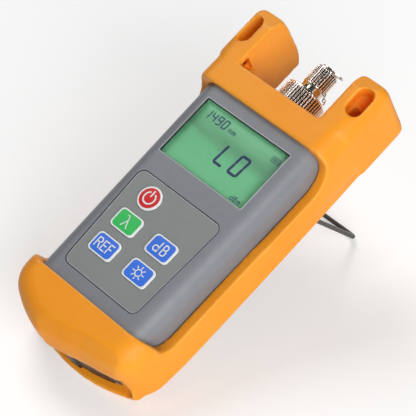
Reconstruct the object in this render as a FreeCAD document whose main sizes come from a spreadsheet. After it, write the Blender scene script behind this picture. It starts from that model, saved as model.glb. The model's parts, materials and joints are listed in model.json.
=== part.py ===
import FreeCAD, Part
import math
import os
import re
import Sketcher

# Handheld optical power meter, in millimetres.
# Every piece is drawn in the meter's own frame: X across, Y along towards the fibre port, Z out of the
# face, with the face at Z = 0. One shared placement then leans the meter back on its open stand.

SIZES = [
    # case: two plastic shells that meet on the axis of the fibre port
    ("case_half_top", 34.2, "half width at the port end"),
    ("case_half_low", 32.3, "half width at the bottom end"),
    ("case_top_y", 62.5, "port end"),
    ("case_low_y", -72.5, "bottom end"),
    ("case_corner", 11.0, "corner radius in plan"),
    ("face_edge", 8.5, "rounding between face and sides"),
    ("rear_edge", 6.0, "rounding between back and sides"),
    ("front_depth", 17.7, "face to the split plane"),
    ("rear_depth", 13.3, "split plane to the back"),
    ("case_wall", 2.2, "wall of both shells"),
    # rubber boot
    ("boot_gap", 0.1, "fit between boot and case"),
    ("boot_side", 5.9, "side wall"),
    ("boot_front", 2.8, "cover over the face"),
    ("boot_back", 3.5, "cover over the back"),
    ("end_wall", 7.7, "bottom wall, at its middle"),
    ("end_flank", 8.3, "half width left outside the arc of the bottom end"),
    ("end_slope", 30.0, "slope in degrees where the end arc stops"),
    ("boot_corner", 14.0, "plan radius of the bottom corners"),
    ("band_wall", 4.9, "wall between the case and the horn notch"),
    ("band_cover", 8.5, "overlap of the top band on the face"),
    ("cup_cover", 17.0, "overlap of the bottom cup on the face"),
    ("lip_depth", 16.2, "side lip below the face"),
    ("lip_sweep", 13.0, "radius of the sweep from lip to band"),
    ("horn_rise", 29.5, "height of the horns above the notch floor"),
    ("horn_corner", 11.0, "plan radius of the horn tips"),
    ("notch_half", 24.7, "half width of the notch between the horns"),
    ("boot_front_edge", 10.5, "rounding of the front outer edge"),
    ("boot_back_edge", 10.0, "rounding of the back outer edge"),
    ("slot_rise", 18.0, "strap slot centre above the notch floor"),
    ("slot_length", 14.5, "strap slot, end to end"),
    ("slot_width", 7.5, "strap slot, side to side"),
    ("slot_depth", 9.0, "strap slot, measured from the horn's corner"),
    ("strap_exit", 5.2, "height of the strap exit above the notch floor"),
    ("strap_room", 6.5, "depth of the strap passage behind the notch wall"),
    ("pocket_side", 7.3, "wall beside the opening in the bottom end"),
    ("pocket_height", 12.5, "height of the opening in the bottom end"),
    ("pocket_depth_z", 21.5, "middle of the opening below the face"),
    # display
    ("screen_half", 25.65, "half width of the display opening"),
    ("screen_low_y", 15.5, "lower edge of the display opening"),
    ("screen_length", 32.0, "length of the display opening"),
    ("screen_step", 1.2, "window below the face"),
    ("window_ledge", 1.4, "window hidden behind the opening's edge"),
    ("window_thick", 1.5, "thickness of the window"),
    ("window_gap", 0.1, "play round the window"),
    ("lcd_thick", 2.4, "thickness of the display cell"),
    ("lcd_margin", 1.8, "display cell past the opening"),
    # keypad
    ("pad_half_top", 25.65, "half width of the keypad recess at its top"),
    ("pad_half_low", 23.05, "half width of the keypad recess at its bottom"),
    ("pad_top_y", 4.75, "top of the keypad recess"),
    ("pad_low_y", -48.8, "bottom of the keypad recess"),
    ("pad_corner", 4.0, "corner radius of the keypad recess"),
    ("pad_recess", 0.6, "depth of the keypad recess"),
    ("pad_thick", 0.5, "thickness of the keypad sheet"),
    ("pad_gap", 0.3, "groove round the keypad sheet"),
    ("key_wide", 14.2, "key width"),
    ("key_tall", 10.1, "key height"),
    ("key_corner", 2.2, "key corner radius"),
    ("power_radius", 5.9, "radius of the round key"),
    ("key_gap", 0.2, "gap round each key"),
    ("key_rise", 0.4, "keys above the face"),
    ("key_flange", 1.0, "flange that holds a key in"),
    ("flange_thick", 0.8, "thickness of that flange"),
    ("key_play", 0.05, "flange below the face wall"),
    ("key_travel", 0.5, "stroke of a key"),
    ("stem_radius", 2.0, "stem under a key"),
    ("column_left", -11.5, "left key column"),
    ("column_right", 10.4, "right key column"),
    ("row_power", -4.5, "row of the round key"),
    ("row_upper", -18.9, "upper row of wide keys"),
    ("row_lower", -33.1, "lower row of wide keys"),
    # boards and detector
    ("board_depth", 7.0, "board top below the face"),
    ("board_thick", 1.6, "thickness of both boards"),
    ("board_gap", 1.1, "main board inside the case's walls"),
    ("board_gap_top", 3.0, "main board inside the side walls, at the port end"),
    ("board_clear", 0.15, "main board short of the port's flange"),
    ("dome_radius", 3.5, "snap dome radius"),
    ("dome_height", 0.5, "snap dome height"),
    ("dome_gap", 0.1, "stem above the dome at full stroke"),
    ("detector_wide", 18.0, "width of the detector board"),
    ("detector_tall", 17.0, "height of the detector board"),
    ("detector_stand", 4.0, "detector board behind the photodiode"),
    ("can_radius", 4.6, "radius of the photodiode can"),
    ("can_length", 3.4, "length of the photodiode can"),
    ("can_rim", 5.6, "radius of the photodiode rim"),
    ("can_rim_thick", 1.0, "thickness of the photodiode rim"),
    ("lead_radius", 0.25, "radius of the photodiode leads"),
    ("lead_circle", 2.5, "radius of the circle of leads"),
    # fibre port
    ("port_flange_r", 9.2, "radius of the flange clamped by the case"),
    ("port_flange", 2.2, "thickness of that flange"),
    ("port_flange_edge", 1.5, "rounding of that flange where it lies in the case's corner"),
    ("port_radius", 7.9, "radius of the threaded tube"),
    ("port_hole_gap", 0.1, "play of the tube in the case"),
    ("port_reach", 12.3, "tube beyond the case"),
    ("light_radius", 1.5, "radius of the light path"),
    ("thread_play", 0.05, "radial play of each screwed fit"),
    ("ring_radius", 10.7, "knurled ring radius"),
    ("ring_start", 5.8, "ring above the case end"),
    ("ring_length", 10.7, "ring length"),
    ("ring_lip", 1.9, "thickness of the ring's inner lip"),
    ("knurl_depth", 0.35, "depth of the knurl grooves"),
    ("ring_knurls", 72, "grooves round the ring"),
    ("cap_knurls", 44, "grooves round the dust cap"),
    ("seat_play", 0.05, "play between seated metal faces"),
    ("flange_radius", 7.4, "adapter flange radius"),
    ("flange_length", 2.1, "adapter flange thickness"),
    ("neck_radius", 5.4, "adapter neck radius"),
    ("neck_length", 5.9, "adapter neck length"),
    ("nose_radius", 4.0, "threaded nose radius"),
    ("nose_length", 8.2, "threaded nose length"),
    ("sleeve_outer", 1.6, "ceramic sleeve outer radius"),
    ("sleeve_inner", 1.25, "ceramic sleeve bore radius"),
    ("sleeve_slit", 0.5, "slit of the ceramic sleeve"),
    ("sleeve_inset", 1.5, "ceramic sleeve below the nose end"),
    ("sleeve_length", 11.4, "ceramic sleeve length"),
    ("notch_wide", 2.6, "key notch in the adapter neck"),
    ("notch_deep", 1.3, "depth of that notch"),
    ("cap_radius", 5.8, "dust cap radius"),
    ("cap_length", 10.4, "dust cap length"),
    ("cap_end", 1.2, "closed end of the dust cap"),
    ("rivet_radius", 0.8, "rivet through the cap's end"),
    ("rivet_head", 1.8, "radius of the rivet's outer head"),
    ("rivet_head_thick", 0.6, "thickness of both rivet heads"),
    ("washer_radius", 4.2, "swivel washer radius"),
    ("washer_thick", 0.5, "swivel washer thickness"),
    ("washer_lift", 0.5, "collar under the swivel washer"),
    ("tab_reach", 6.9, "chain hole from the cap's axis"),
    ("tab_hole", 0.7, "radius of the chain hole"),
    ("link_radius", 1.0, "chain link radius, to the wire's middle"),
    ("link_wire", 0.22, "radius of the chain wire"),
    ("link_play", 0.03, "play between chain links"),
    # stand
    ("hinge_y", 37.0, "hinge axis of the stand"),
    ("hinge_play", 0.15, "play of the stand's eyes and sides"),
    ("eye_radius", 1.6, "eyes of the stand"),
    ("pin_radius", 0.8, "hinge pins"),
    ("pin_play", 0.05, "radial play on the pins"),
    ("pin_head", 1.4, "radius of the pin heads"),
    ("pin_head_thick", 0.6, "thickness of the pin heads"),
    ("leg_inset", 3.8, "middle of each leg inside the case's bottom width"),
    ("leg_wide", 2.8, "leg width"),
    ("leg_thick", 2.0, "leg thickness"),
    ("leg_edge", 0.8, "rounding of the leg's edges"),
    ("stand_reach", 60.0, "hinge to the foot"),
    ("stand_corner", 6.0, "outer corner radius of the stand"),
    ("stand_open", 109.5, "swing of the stand in degrees, from folded"),
    ("lug_thick", 3.0, "hinge lugs on the rear shell"),
    ("stop_gap", 0.05, "gap between the open leg and its stop"),
    ("stop_length", 3.0, "length of the stop blocks"),
    ("window_side", 1.7, "window in the boot's back, beside each leg"),
    ("window_margin", 2.6, "that window past the stand at both ends"),
    # batteries and screws
    ("cell_radius", 7.15, "battery radius"),
    ("cell_length", 49.2, "battery length without its button"),
    ("cell_play", 0.2, "room round the batteries"),
    ("button_radius", 2.6, "battery button radius"),
    ("button_length", 1.2, "battery button length"),
    ("contact_thick", 0.5, "battery contact plates"),
    ("door_end", 0.9, "battery door above the rounded bottom edge"),
    ("door_thick", 1.2, "thickness of the battery door"),
    ("door_ledge", 1.3, "ledge that the door lies on"),
    ("door_gap", 0.15, "gap round the door"),
    ("post_radius", 2.6, "screw posts"),
    ("post_collar", 4.0, "collars that carry the board"),
    ("post_side_top", 8.2, "upper posts inside the case's half width"),
    ("post_side_low", 5.9, "lower posts inside the case's half width"),
    ("post_end_top", 7.5, "upper posts from the port end"),
    ("post_end_low", 10.5, "lower posts from the bottom end"),
    ("screw_radius", 1.2, "screw shank"),
    ("screw_hole_gap", 0.1, "play of the shank in the rear post"),
    ("screw_head", 2.3, "screw head radius"),
    ("screw_head_thick", 1.6, "screw head thickness"),
    ("screw_reach", 6.0, "screw beyond the split plane"),
]

# sizes worked out from the ones above
BOOT_HALF_TOP = "(case_half_top + boot_gap + boot_side)"
BOOT_HALF_LOW = "(case_half_low + boot_gap + boot_side)"
BAND_TOP_Y = "(case_top_y + boot_gap + band_wall)"
BAND_LOW_Y = "(case_top_y - band_cover)"
CUP_TOP_Y = "(case_low_y + cup_cover)"
HORN_TOP_Y = "(" + BAND_TOP_Y + " + horn_rise)"
BOOT_END_Y = "(case_low_y - boot_gap - end_wall)"
END_RADIUS = "((" + BOOT_HALF_LOW + " - end_flank) / sin(end_slope))"
END_TIP_Y = "(" + BOOT_END_Y + " + " + END_RADIUS + " - " + END_RADIUS + " / cos(end_slope))"
SHOULDER_Y = "(" + END_TIP_Y + " + " + BOOT_HALF_LOW + " * tan(end_slope))"
CASE_BACK = "(front_depth + rear_depth)"
BOOT_BACK = "(" + CASE_BACK + " + boot_back)"
HINGE_DEPTH = "(" + CASE_BACK + " + eye_radius + hinge_play)"
STAND_HALF = "(case_half_low - leg_inset)"
LEG_OUTER = "(" + STAND_HALF + " + leg_wide / 2)"
LEG_INNER = "(" + STAND_HALF + " - leg_wide / 2)"
LUG_INNER = "(" + LEG_INNER + " - hinge_play - lug_thick)"
STAND_TIP_Y = "(hinge_y - stand_reach)"
FLANGE_DEPTH = "(case_wall + key_play + flange_thick)"
STEM_LENGTH = "(board_depth - " + FLANGE_DEPTH + " - dome_height - key_travel - dome_gap)"
PORT_INNER_Y = "(case_top_y - case_wall - seat_play - port_flange)"
PORT_END_Y = "(case_top_y + port_reach)"
NECK_START_Y = "(" + PORT_END_Y + " + seat_play + flange_length)"
NECK_END_Y = "(" + NECK_START_Y + " + neck_length)"
NOSE_END_Y = "(" + NECK_END_Y + " + nose_length)"
RING_LOW_Y = "(case_top_y + ring_start)"
RING_TOP_Y = "(" + RING_LOW_Y + " + ring_length)"
CAP_LOW_Y = "(" + NECK_END_Y + " + seat_play)"
CAP_TOP_Y = "(" + CAP_LOW_Y + " + cap_length)"
BOARD_BACK = "(board_depth + board_thick)"
BOARD_HALF_TOP = "(case_half_top - case_wall - board_gap_top)"
BOARD_HALF_LOW = "(case_half_low - case_wall - board_gap)"
BOARD_TOP_Y = "(" + PORT_INNER_Y + " - board_clear)"
BOARD_LOW_Y = "(case_low_y + case_wall + board_gap)"
POCKET_HALF = "(" + BOOT_HALF_LOW + " - pocket_side)"
WINDOW_HALF = "(" + LEG_OUTER + " + window_side)"
DOOR_HALF = "(3 * cell_radius + cell_play + door_ledge)"
DOOR_LOW_Y = "(case_low_y + rear_edge + door_end)"
CELL_LOW_Y = "(" + DOOR_LOW_Y + " + door_ledge + cell_play)"
CELL_TOP_Y = "(" + CELL_LOW_Y + " + cell_length)"
CELL_DEPTH = "(" + CASE_BACK + " - door_thick - cell_play - cell_radius)"
DOOR_TOP_Y = "(" + CELL_TOP_Y + " + button_length + cell_play + door_ledge)"
POST_TOP_X = "(case_half_top - post_side_top)"
POST_LOW_X = "(case_half_low - post_side_low)"
POST_TOP_Y = "(case_top_y - post_end_top)"
POST_LOW_Y = "(case_low_y + post_end_low)"

KEYS = {
    "power_key": ("column_left", "row_power"),
    "wavelength_key": ("column_left", "row_upper"),
    "decibel_key": ("column_right", "row_upper"),
    "reference_key": ("column_left", "row_lower"),
    "backlight_key": ("column_right", "row_lower"),
}
POSTS = [
    (POST_TOP_X, POST_TOP_Y),
    ("-" + POST_TOP_X, POST_TOP_Y),
    (POST_LOW_X, POST_LOW_Y),
    ("-" + POST_LOW_X, POST_LOW_Y),
]
CELL_COLUMNS = ["-2 * cell_radius", "0", "2 * cell_radius"]
OVERCUT = "1"
SAME = 1e-4

doc = FreeCAD.newDocument("PowerMeter")
sheet = doc.addObject("Spreadsheet::Sheet", "Sizes")
for row, (alias, number, meaning) in enumerate(SIZES, 1):
    sheet.set("A%d" % row, alias)
    sheet.set("B%d" % row, str(number))
    sheet.set("C%d" % row, meaning)
    sheet.setAlias("B%d" % row, alias)
doc.recompute()

ALIASES = re.compile(r"\b(" + "|".join(alias for alias, number, meaning in SIZES) + r")\b")
parts = {}


# ---------------------------------------------------------------- drawing helpers

def full(formula):
    """The formula with each size written as a cell of the sheet."""
    return ALIASES.sub(r"Sizes.\1", formula)


def value(formula):
    return float(sheet.evalExpression(full(formula)))


def bind(item, name, formula):
    item.setExpression(name, full(formula))


def vector(x, y, z):
    return FreeCAD.Vector(x, y, z)


def new_body(label):
    body = doc.addObject("PartDesign::Body", label)
    body.Label = label
    return body


def sketch_on(body, role, level="0", name="Outline"):
    """A sketch on one of the body's origin planes, moved along the plane's own axis to the level."""
    sketch = body.newObject("Sketcher::SketchObject", name)
    plane = [item for item in body.Origin.OriginFeatures if item.Role == role][0]
    sketch.AttachmentSupport = [(plane, "")]
    sketch.MapMode = "FlatFace"
    # the XZ plane faces -Y
    bind(sketch, ".AttachmentOffset.Base.z", "-(" + level + ")" if role == "XZ_Plane" else level)
    return sketch


def dimension(sketch, kind, formula, *geometry):
    number = sketch.addConstraint(Sketcher.Constraint(kind, *geometry, value(formula)))
    sketch.setExpression("Constraints[%d]" % number, full(formula))


def fix(sketch, geometry, position, x, y):
    dimension(sketch, "DistanceX", x, -1, 1, geometry, position)
    dimension(sketch, "DistanceY", y, -1, 1, geometry, position)


def outline(sketch, corners):
    """Closed outline through corners (x, y) or (x, y, radius), anticlockwise; a radius rounds its corner."""
    count = len(corners)
    points = [vector(value(corner[0]), value(corner[1]), 0) for corner in corners]
    radii = [value(corner[2]) if len(corner) > 2 else 0.0 for corner in corners]
    arrive, leave, centres, sides = [], [], [], []
    for i in range(count):
        come = (points[i] - points[i - 1]).normalize()
        go = (points[(i + 1) % count] - points[i]).normalize()
        turn = math.atan2(come.x * go.y - come.y * go.x, come.dot(go))
        side = 1 if turn > 0 else -1
        cut = radii[i] * math.tan(abs(turn) / 2)
        arrive.append(points[i] - come * cut)
        leave.append(points[i] + go * cut)
        centres.append(arrive[i] + vector(-come.y, come.x, 0) * (radii[i] * side))
        sides.append(side)
    lines = []
    for i in range(count):
        segment = Part.LineSegment(leave[i], arrive[(i + 1) % count])
        lines.append(sketch.addGeometry(segment, False))
    for i in range(count):
        before, after = lines[i - 1], lines[i]
        if radii[i] == 0:
            sketch.addConstraint(Sketcher.Constraint("Coincident", before, 2, after, 1))
            fix(sketch, after, 1, corners[i][0], corners[i][1])
            continue
        start, end = (arrive[i], leave[i]) if sides[i] > 0 else (leave[i], arrive[i])
        circle = Part.Circle(centres[i], vector(0, 0, 1), radii[i])
        angles = [math.atan2(p.y - centres[i].y, p.x - centres[i].x) for p in (start, end)]
        arc = sketch.addGeometry(Part.ArcOfCircle(circle, *angles), False)
        first, last = (1, 2) if sides[i] > 0 else (2, 1)
        corner = sketch.addGeometry(Part.Point(points[i]), True)
        fix(sketch, corner, 1, corners[i][0], corners[i][1])
        sketch.addConstraint(Sketcher.Constraint("PointOnObject", corner, 1, before))
        sketch.addConstraint(Sketcher.Constraint("PointOnObject", corner, 1, after))
        sketch.addConstraint(Sketcher.Constraint("Tangent", before, 2, arc, first))
        sketch.addConstraint(Sketcher.Constraint("Tangent", arc, last, after, 1))
        dimension(sketch, "Radius", corners[i][2], arc)


def rectangle(sketch, left, right, low, high, radius="0"):
    corners = [(left, low), (right, low), (right, high), (left, high)]
    if value(radius) > 0:
        corners = [corner + (radius,) for corner in corners]
    outline(sketch, corners)


def round_hole(sketch, x, y, radius):
    shape = Part.Circle(vector(value(x), value(y), 0), vector(0, 0, 1), value(radius))
    circle = sketch.addGeometry(shape, False)
    fix(sketch, circle, 3, x, y)
    dimension(sketch, "Radius", radius, circle)


def pad(sketch, length, down=False, both=False):
    body = sketch.getParentGeoFeatureGroup()
    feature = body.newObject("PartDesign::Pad", "Pad")
    feature.Profile = sketch
    feature.Reversed = down
    feature.Midplane = both
    bind(feature, "Length", length)
    doc.recompute()
    return feature


def pocket(sketch, length, up=False, both=False):
    """Cut that goes down from its sketch, or up, and has to take something away."""
    body = sketch.getParentGeoFeatureGroup()
    before = body.Tip.Shape.Volume
    feature = body.newObject("PartDesign::Pocket", "Pocket")
    feature.Profile = sketch
    feature.Reversed = up
    feature.Midplane = both
    bind(feature, "Length", length)
    doc.recompute()
    if not feature.Shape.Volume < before:
        raise RuntimeError(body.Label + ": a pocket cuts nothing")
    return feature


def edges_where(shape, test):
    """Names of the edges whose bounding box passes the test."""
    return ["Edge%d" % (i + 1) for i, edge in enumerate(shape.Edges) if test(edge.BoundBox)]


def at_level(level):
    """Test for edges that lie in a plane of constant Z."""
    height = value(level)
    return lambda box: abs(box.ZMin - height) < SAME and abs(box.ZMax - height) < SAME


def fillet(base, radius, test):
    body = base.getParentGeoFeatureGroup()
    feature = body.newObject("PartDesign::Fillet", "Fillet")
    feature.Base = (base, edges_where(base.Shape, test))
    bind(feature, "Radius", radius)
    doc.recompute()
    return feature


def revolve(body, profile):
    """Turned piece about the port's axis; the profile is (distance along Y, radius) corners."""
    sketch = sketch_on(body, "YZ_Plane", "0", "Profile")
    bind(sketch, ".AttachmentOffset.Base.y", "-front_depth")
    outline(sketch, profile)
    feature = body.newObject("PartDesign::Revolution", "Turned")
    feature.Profile = sketch
    feature.ReferenceAxis = (sketch, ["H_Axis"])
    feature.Angle = 360
    doc.recompute()
    return feature


def cylinder(label, radius, length, x, y, z, direction):
    item = doc.addObject("Part::Cylinder", label)
    bind(item, "Radius", radius)
    bind(item, "Height", length)
    place(item, x, y, z, direction)
    return item


def box(label, left, right, low, high, back, front):
    item = doc.addObject("Part::Box", label)
    bind(item, "Length", "(" + right + ") - (" + left + ")")
    bind(item, "Width", "(" + high + ") - (" + low + ")")
    bind(item, "Height", "(" + front + ") - (" + back + ")")
    place(item, left, low, back, vector(0, 0, 1))
    return item


def place(item, x, y, z, direction):
    item.Placement = FreeCAD.Placement(vector(0, 0, 0), FreeCAD.Rotation(vector(0, 0, 1), direction))
    bind(item, ".Placement.Base.x", x)
    bind(item, ".Placement.Base.y", y)
    bind(item, ".Placement.Base.z", z)


def cut(label, base, tools):
    item = doc.addObject("Part::Cut", label)
    item.Base = base
    item.Tool = tools[0] if len(tools) == 1 else fuse(label + "_tools", tools)
    return item


def fuse(label, pieces):
    item = doc.addObject("Part::MultiFuse", label)
    item.Shapes = pieces
    return item


def group(label, pieces):
    item = doc.addObject("Part::Compound", label)
    item.Links = pieces
    return item


def keep(node, item):
    """Register a finished piece under its node's name."""
    item.Label = node
    parts[node] = item


# ---------------------------------------------------------------- case

def case_outline(sketch, grow="0"):
    corner = "case_corner + " + grow
    outline(sketch, [
        ("case_half_low + " + grow, "case_low_y - (" + grow + ")", corner),
        ("case_half_top + " + grow, "case_top_y + " + grow, corner),
        ("-case_half_top - (" + grow + ")", "case_top_y + " + grow, corner),
        ("-case_half_low - (" + grow + ")", "case_low_y - (" + grow + ")", corner),
    ])


def case_block(body, low, high, grow="0"):
    """Solid block with the case's plan outline between two levels."""
    sketch = sketch_on(body, "XY_Plane", low)
    case_outline(sketch, grow)
    return pad(sketch, "(" + high + ") - (" + low + ")")


def hollow(base, level):
    """Shell the block, open at the split plane."""
    body = base.getParentGeoFeatureGroup()
    height = value(level)
    faces = ["Face%d" % (i + 1) for i, face in enumerate(base.Shape.Faces)
             if abs(face.BoundBox.ZMin - height) < SAME and abs(face.BoundBox.ZMax - height) < SAME]
    feature = body.newObject("PartDesign::Thickness", "Hollow")
    feature.Base = (base, faces)
    feature.Reversed = True
    bind(feature, "Value", "case_wall")
    doc.recompute()
    return feature


def port_hole(body):
    sketch = sketch_on(body, "XZ_Plane", "case_top_y - case_wall - " + OVERCUT)
    round_hole(sketch, "0", "-front_depth", "port_radius + port_hole_gap")
    pocket(sketch, "case_wall + 2 * " + OVERCUT)


def key_outline(sketch, node, grow):
    x, y = KEYS[node]
    if node == "power_key":
        round_hole(sketch, x, y, "power_radius + " + grow)
    else:
        half_wide = "(key_wide / 2 + " + grow + ")"
        half_tall = "(key_tall / 2 + " + grow + ")"
        rectangle(sketch, x + " - " + half_wide, x + " + " + half_wide,
                  y + " - " + half_tall, y + " + " + half_tall, "key_corner + " + grow)


def pad_outline(sketch, shrink="0"):
    corner = "pad_corner - " + shrink
    outline(sketch, [
        ("pad_half_low - " + shrink, "pad_low_y + " + shrink, corner),
        ("pad_half_top - " + shrink, "pad_top_y - " + shrink, corner),
        ("-(pad_half_top - " + shrink + ")", "pad_top_y - " + shrink, corner),
        ("-(pad_half_low - " + shrink + ")", "pad_low_y + " + shrink, corner),
    ])


def make_front_shell():
    body = new_body("front_shell")
    block = case_block(body, "-front_depth", "0")
    rounded = fillet(block, "face_edge", at_level("0"))
    hollow(rounded, "-front_depth")
    # display opening, with a step under it for the window
    opening = sketch_on(body, "XY_Plane", "0", "Screen")
    rectangle(opening, "-screen_half", "screen_half", "screen_low_y", "screen_low_y + screen_length")
    pocket(opening, "case_wall + " + OVERCUT)
    step = sketch_on(body, "XY_Plane", "-screen_step", "Step")
    edge = "(window_ledge + window_gap)"
    rectangle(step, "-screen_half - " + edge, "screen_half + " + edge,
              "screen_low_y - " + edge, "screen_low_y + screen_length + " + edge)
    pocket(step, "case_wall - screen_step + " + OVERCUT)
    # keypad recess and key holes
    recess = sketch_on(body, "XY_Plane", "0", "Recess")
    pad_outline(recess)
    pocket(recess, "pad_recess")
    for node in KEYS:
        hole = sketch_on(body, "XY_Plane", "0", "KeyHole")
        key_outline(hole, node, "key_gap")
        pocket(hole, "case_wall + " + OVERCUT)
    # posts for the case screws, with collars that carry the board
    for x, y in POSTS:
        for radius, start, end in (("post_radius", "case_wall", "front_depth"),
                                   ("post_collar", "board_depth / 2", "board_depth")):
            post = sketch_on(body, "XY_Plane", "-" + start, "Post")
            round_hole(post, x, y, radius)
            pad(post, end + " - " + start, down=True)
        pilot = sketch_on(body, "XY_Plane", "-front_depth", "Pilot")
        round_hole(pilot, x, y, "screw_radius")
        pocket(pilot, "screw_reach + " + OVERCUT, up=True)
    port_hole(body)
    keep("front_shell", body)


def make_rear_shell():
    body = new_body("rear_shell")
    back = "-" + CASE_BACK
    block = case_block(body, back, "-front_depth")
    rounded = fillet(block, "rear_edge", at_level(back))
    hollow(rounded, "-front_depth")
    for x, y in POSTS:
        post = sketch_on(body, "XY_Plane", "-front_depth", "Post")
        round_hole(post, x, y, "post_radius")
        pad(post, "rear_depth - case_wall", down=True)
        head = sketch_on(body, "XY_Plane", back, "HeadSeat")
        round_hole(head, x, y, "screw_head + screw_hole_gap")
        pocket(head, "case_wall", up=True)
        shank = sketch_on(body, "XY_Plane", back, "ShankHole")
        round_hole(shank, x, y, "screw_radius + screw_hole_gap")
        pocket(shank, "rear_depth", up=True)
    # battery door: recess outside, smaller opening inside
    recess = sketch_on(body, "XY_Plane", back, "DoorRecess")
    rectangle(recess, "-" + DOOR_HALF + " - door_gap", DOOR_HALF + " + door_gap",
              DOOR_LOW_Y + " - door_gap", DOOR_TOP_Y + " + door_gap", "door_ledge")
    pocket(recess, "door_thick", up=True)
    opening = sketch_on(body, "XY_Plane", back, "DoorOpening")
    rectangle(opening, "-" + DOOR_HALF + " + door_ledge", DOOR_HALF + " - door_ledge",
              DOOR_LOW_Y + " + door_ledge", DOOR_TOP_Y + " - door_ledge")
    pocket(opening, "case_wall", up=True)
    # stand hinge: a lug inboard of each leg and a stop block past it
    for side in ("1", "-1"):
        lug = sketch_on(body, "YZ_Plane", side + " * (" + LUG_INNER + " + lug_thick / 2)", "Lug")
        outline(lug, [
            ("hinge_y - eye_radius", "-" + HINGE_DEPTH + " - eye_radius", "eye_radius * 0.6"),
            ("hinge_y + eye_radius", "-" + HINGE_DEPTH + " - eye_radius", "eye_radius * 0.6"),
            ("hinge_y + eye_radius", back + " + case_wall / 2"),
            ("hinge_y - eye_radius", back + " + case_wall / 2"),
        ])
        pad(lug, "lug_thick", both=True)
        bore = sketch_on(body, "YZ_Plane", side + " * (" + LUG_INNER + " + lug_thick / 2)", "PinBore")
        round_hole(bore, "hinge_y", "-" + HINGE_DEPTH, "pin_radius")
        pocket(bore, "lug_thick + " + OVERCUT, both=True)
        stop = sketch_on(body, "YZ_Plane", side + " * " + STAND_HALF, "Stop")
        reach = "(" + HINGE_DEPTH + " + eye_radius)"
        over = "(stand_open - 90)"
        touch = "(hinge_y + leg_thick / 2 / cos" + over + " + eye_radius * tan" + over + " + stop_gap)"
        clear = "(hinge_y + eye_radius + 2 * hinge_play)"
        outline(stop, [
            (clear, "-" + HINGE_DEPTH),
            (touch, "-" + reach),
            (touch + " + stop_length", "-" + reach),
            (touch + " + stop_length", back + " + case_wall / 2"),
            (clear, back + " + case_wall / 2"),
        ])
        pad(stop, "leg_wide", both=True)
    port_hole(body)
    keep("rear_shell", body)


def make_display():
    top = "(screen_low_y + screen_length)"
    body = new_body("display_window")
    window = sketch_on(body, "XY_Plane", "-screen_step - window_thick")
    rectangle(window, "-screen_half - window_ledge", "screen_half + window_ledge",
              "screen_low_y - window_ledge", top + " + window_ledge", "window_ledge / 2")
    pad(window, "window_thick")
    keep("display_window", body)
    under_window = "(screen_step + window_thick)"
    left, right = "-screen_half - lcd_margin", "screen_half + lcd_margin"
    low, high = "screen_low_y - lcd_margin", top + " + lcd_margin"
    lcd_back = "(" + under_window + " + lcd_thick)"
    for node, back, thickness in (("lcd_panel", lcd_back, "lcd_thick"),
                                  ("light_guide", "board_depth", "board_depth - " + lcd_back)):
        body = new_body(node)
        plate = sketch_on(body, "XY_Plane", "-" + back)
        rectangle(plate, left, right, low, high)
        pad(plate, thickness)
        keep(node, body)


def make_keypad():
    body = new_body("keypad_overlay")
    sheet_outline = sketch_on(body, "XY_Plane", "-pad_recess")
    pad_outline(sheet_outline, "pad_gap")
    pad(sheet_outline, "pad_thick")
    for node in KEYS:
        hole = sketch_on(body, "XY_Plane", "0", "KeyHole")
        key_outline(hole, node, "key_gap")
        pocket(hole, "pad_recess + " + OVERCUT)
    keep("keypad_overlay", body)
    for node, (x, y) in KEYS.items():
        body = new_body(node)
        face = sketch_on(body, "XY_Plane", "-" + FLANGE_DEPTH, "Face")
        key_outline(face, node, "0")
        cap = pad(face, FLANGE_DEPTH + " + key_rise")
        fillet(cap, "key_rise * 0.75", at_level("key_rise"))
        flange = sketch_on(body, "XY_Plane", "-" + FLANGE_DEPTH, "Flange")
        key_outline(flange, node, "key_flange")
        pad(flange, "flange_thick")
        stem = sketch_on(body, "XY_Plane", "-" + FLANGE_DEPTH, "Stem")
        round_hole(stem, x, y, "stem_radius")
        pad(stem, STEM_LENGTH, down=True)
        keep(node, body)


def make_boards():
    body = new_body("main_board")
    board = sketch_on(body, "XY_Plane", "-" + BOARD_BACK)
    corner = "case_corner - case_wall"
    outline(board, [
        ("-" + BOARD_HALF_LOW, BOARD_LOW_Y, corner),
        (BOARD_HALF_LOW, BOARD_LOW_Y, corner),
        (BOARD_HALF_TOP, BOARD_TOP_Y, corner),
        ("-" + BOARD_HALF_TOP, BOARD_TOP_Y, corner),
    ])
    pad(board, "board_thick")
    for x, y in POSTS:
        hole = sketch_on(body, "XY_Plane", "-board_depth", "PostHole")
        round_hole(hole, x, y, "post_radius + screw_hole_gap")
        pocket(hole, "board_thick + " + OVERCUT)
    keep("main_board", body)
    domes = []
    for node, (x, y) in KEYS.items():
        dome = doc.addObject("Part::Cone", node + "_dome")
        bind(dome, "Radius1", "dome_radius")
        bind(dome, "Radius2", "dome_radius / 2")
        bind(dome, "Height", "dome_height")
        place(dome, x, y, "-board_depth", vector(0, 0, 1))
        domes.append(dome)
    keep("key_domes", group("key_domes", domes))


# ---------------------------------------------------------------- fibre port

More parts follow.
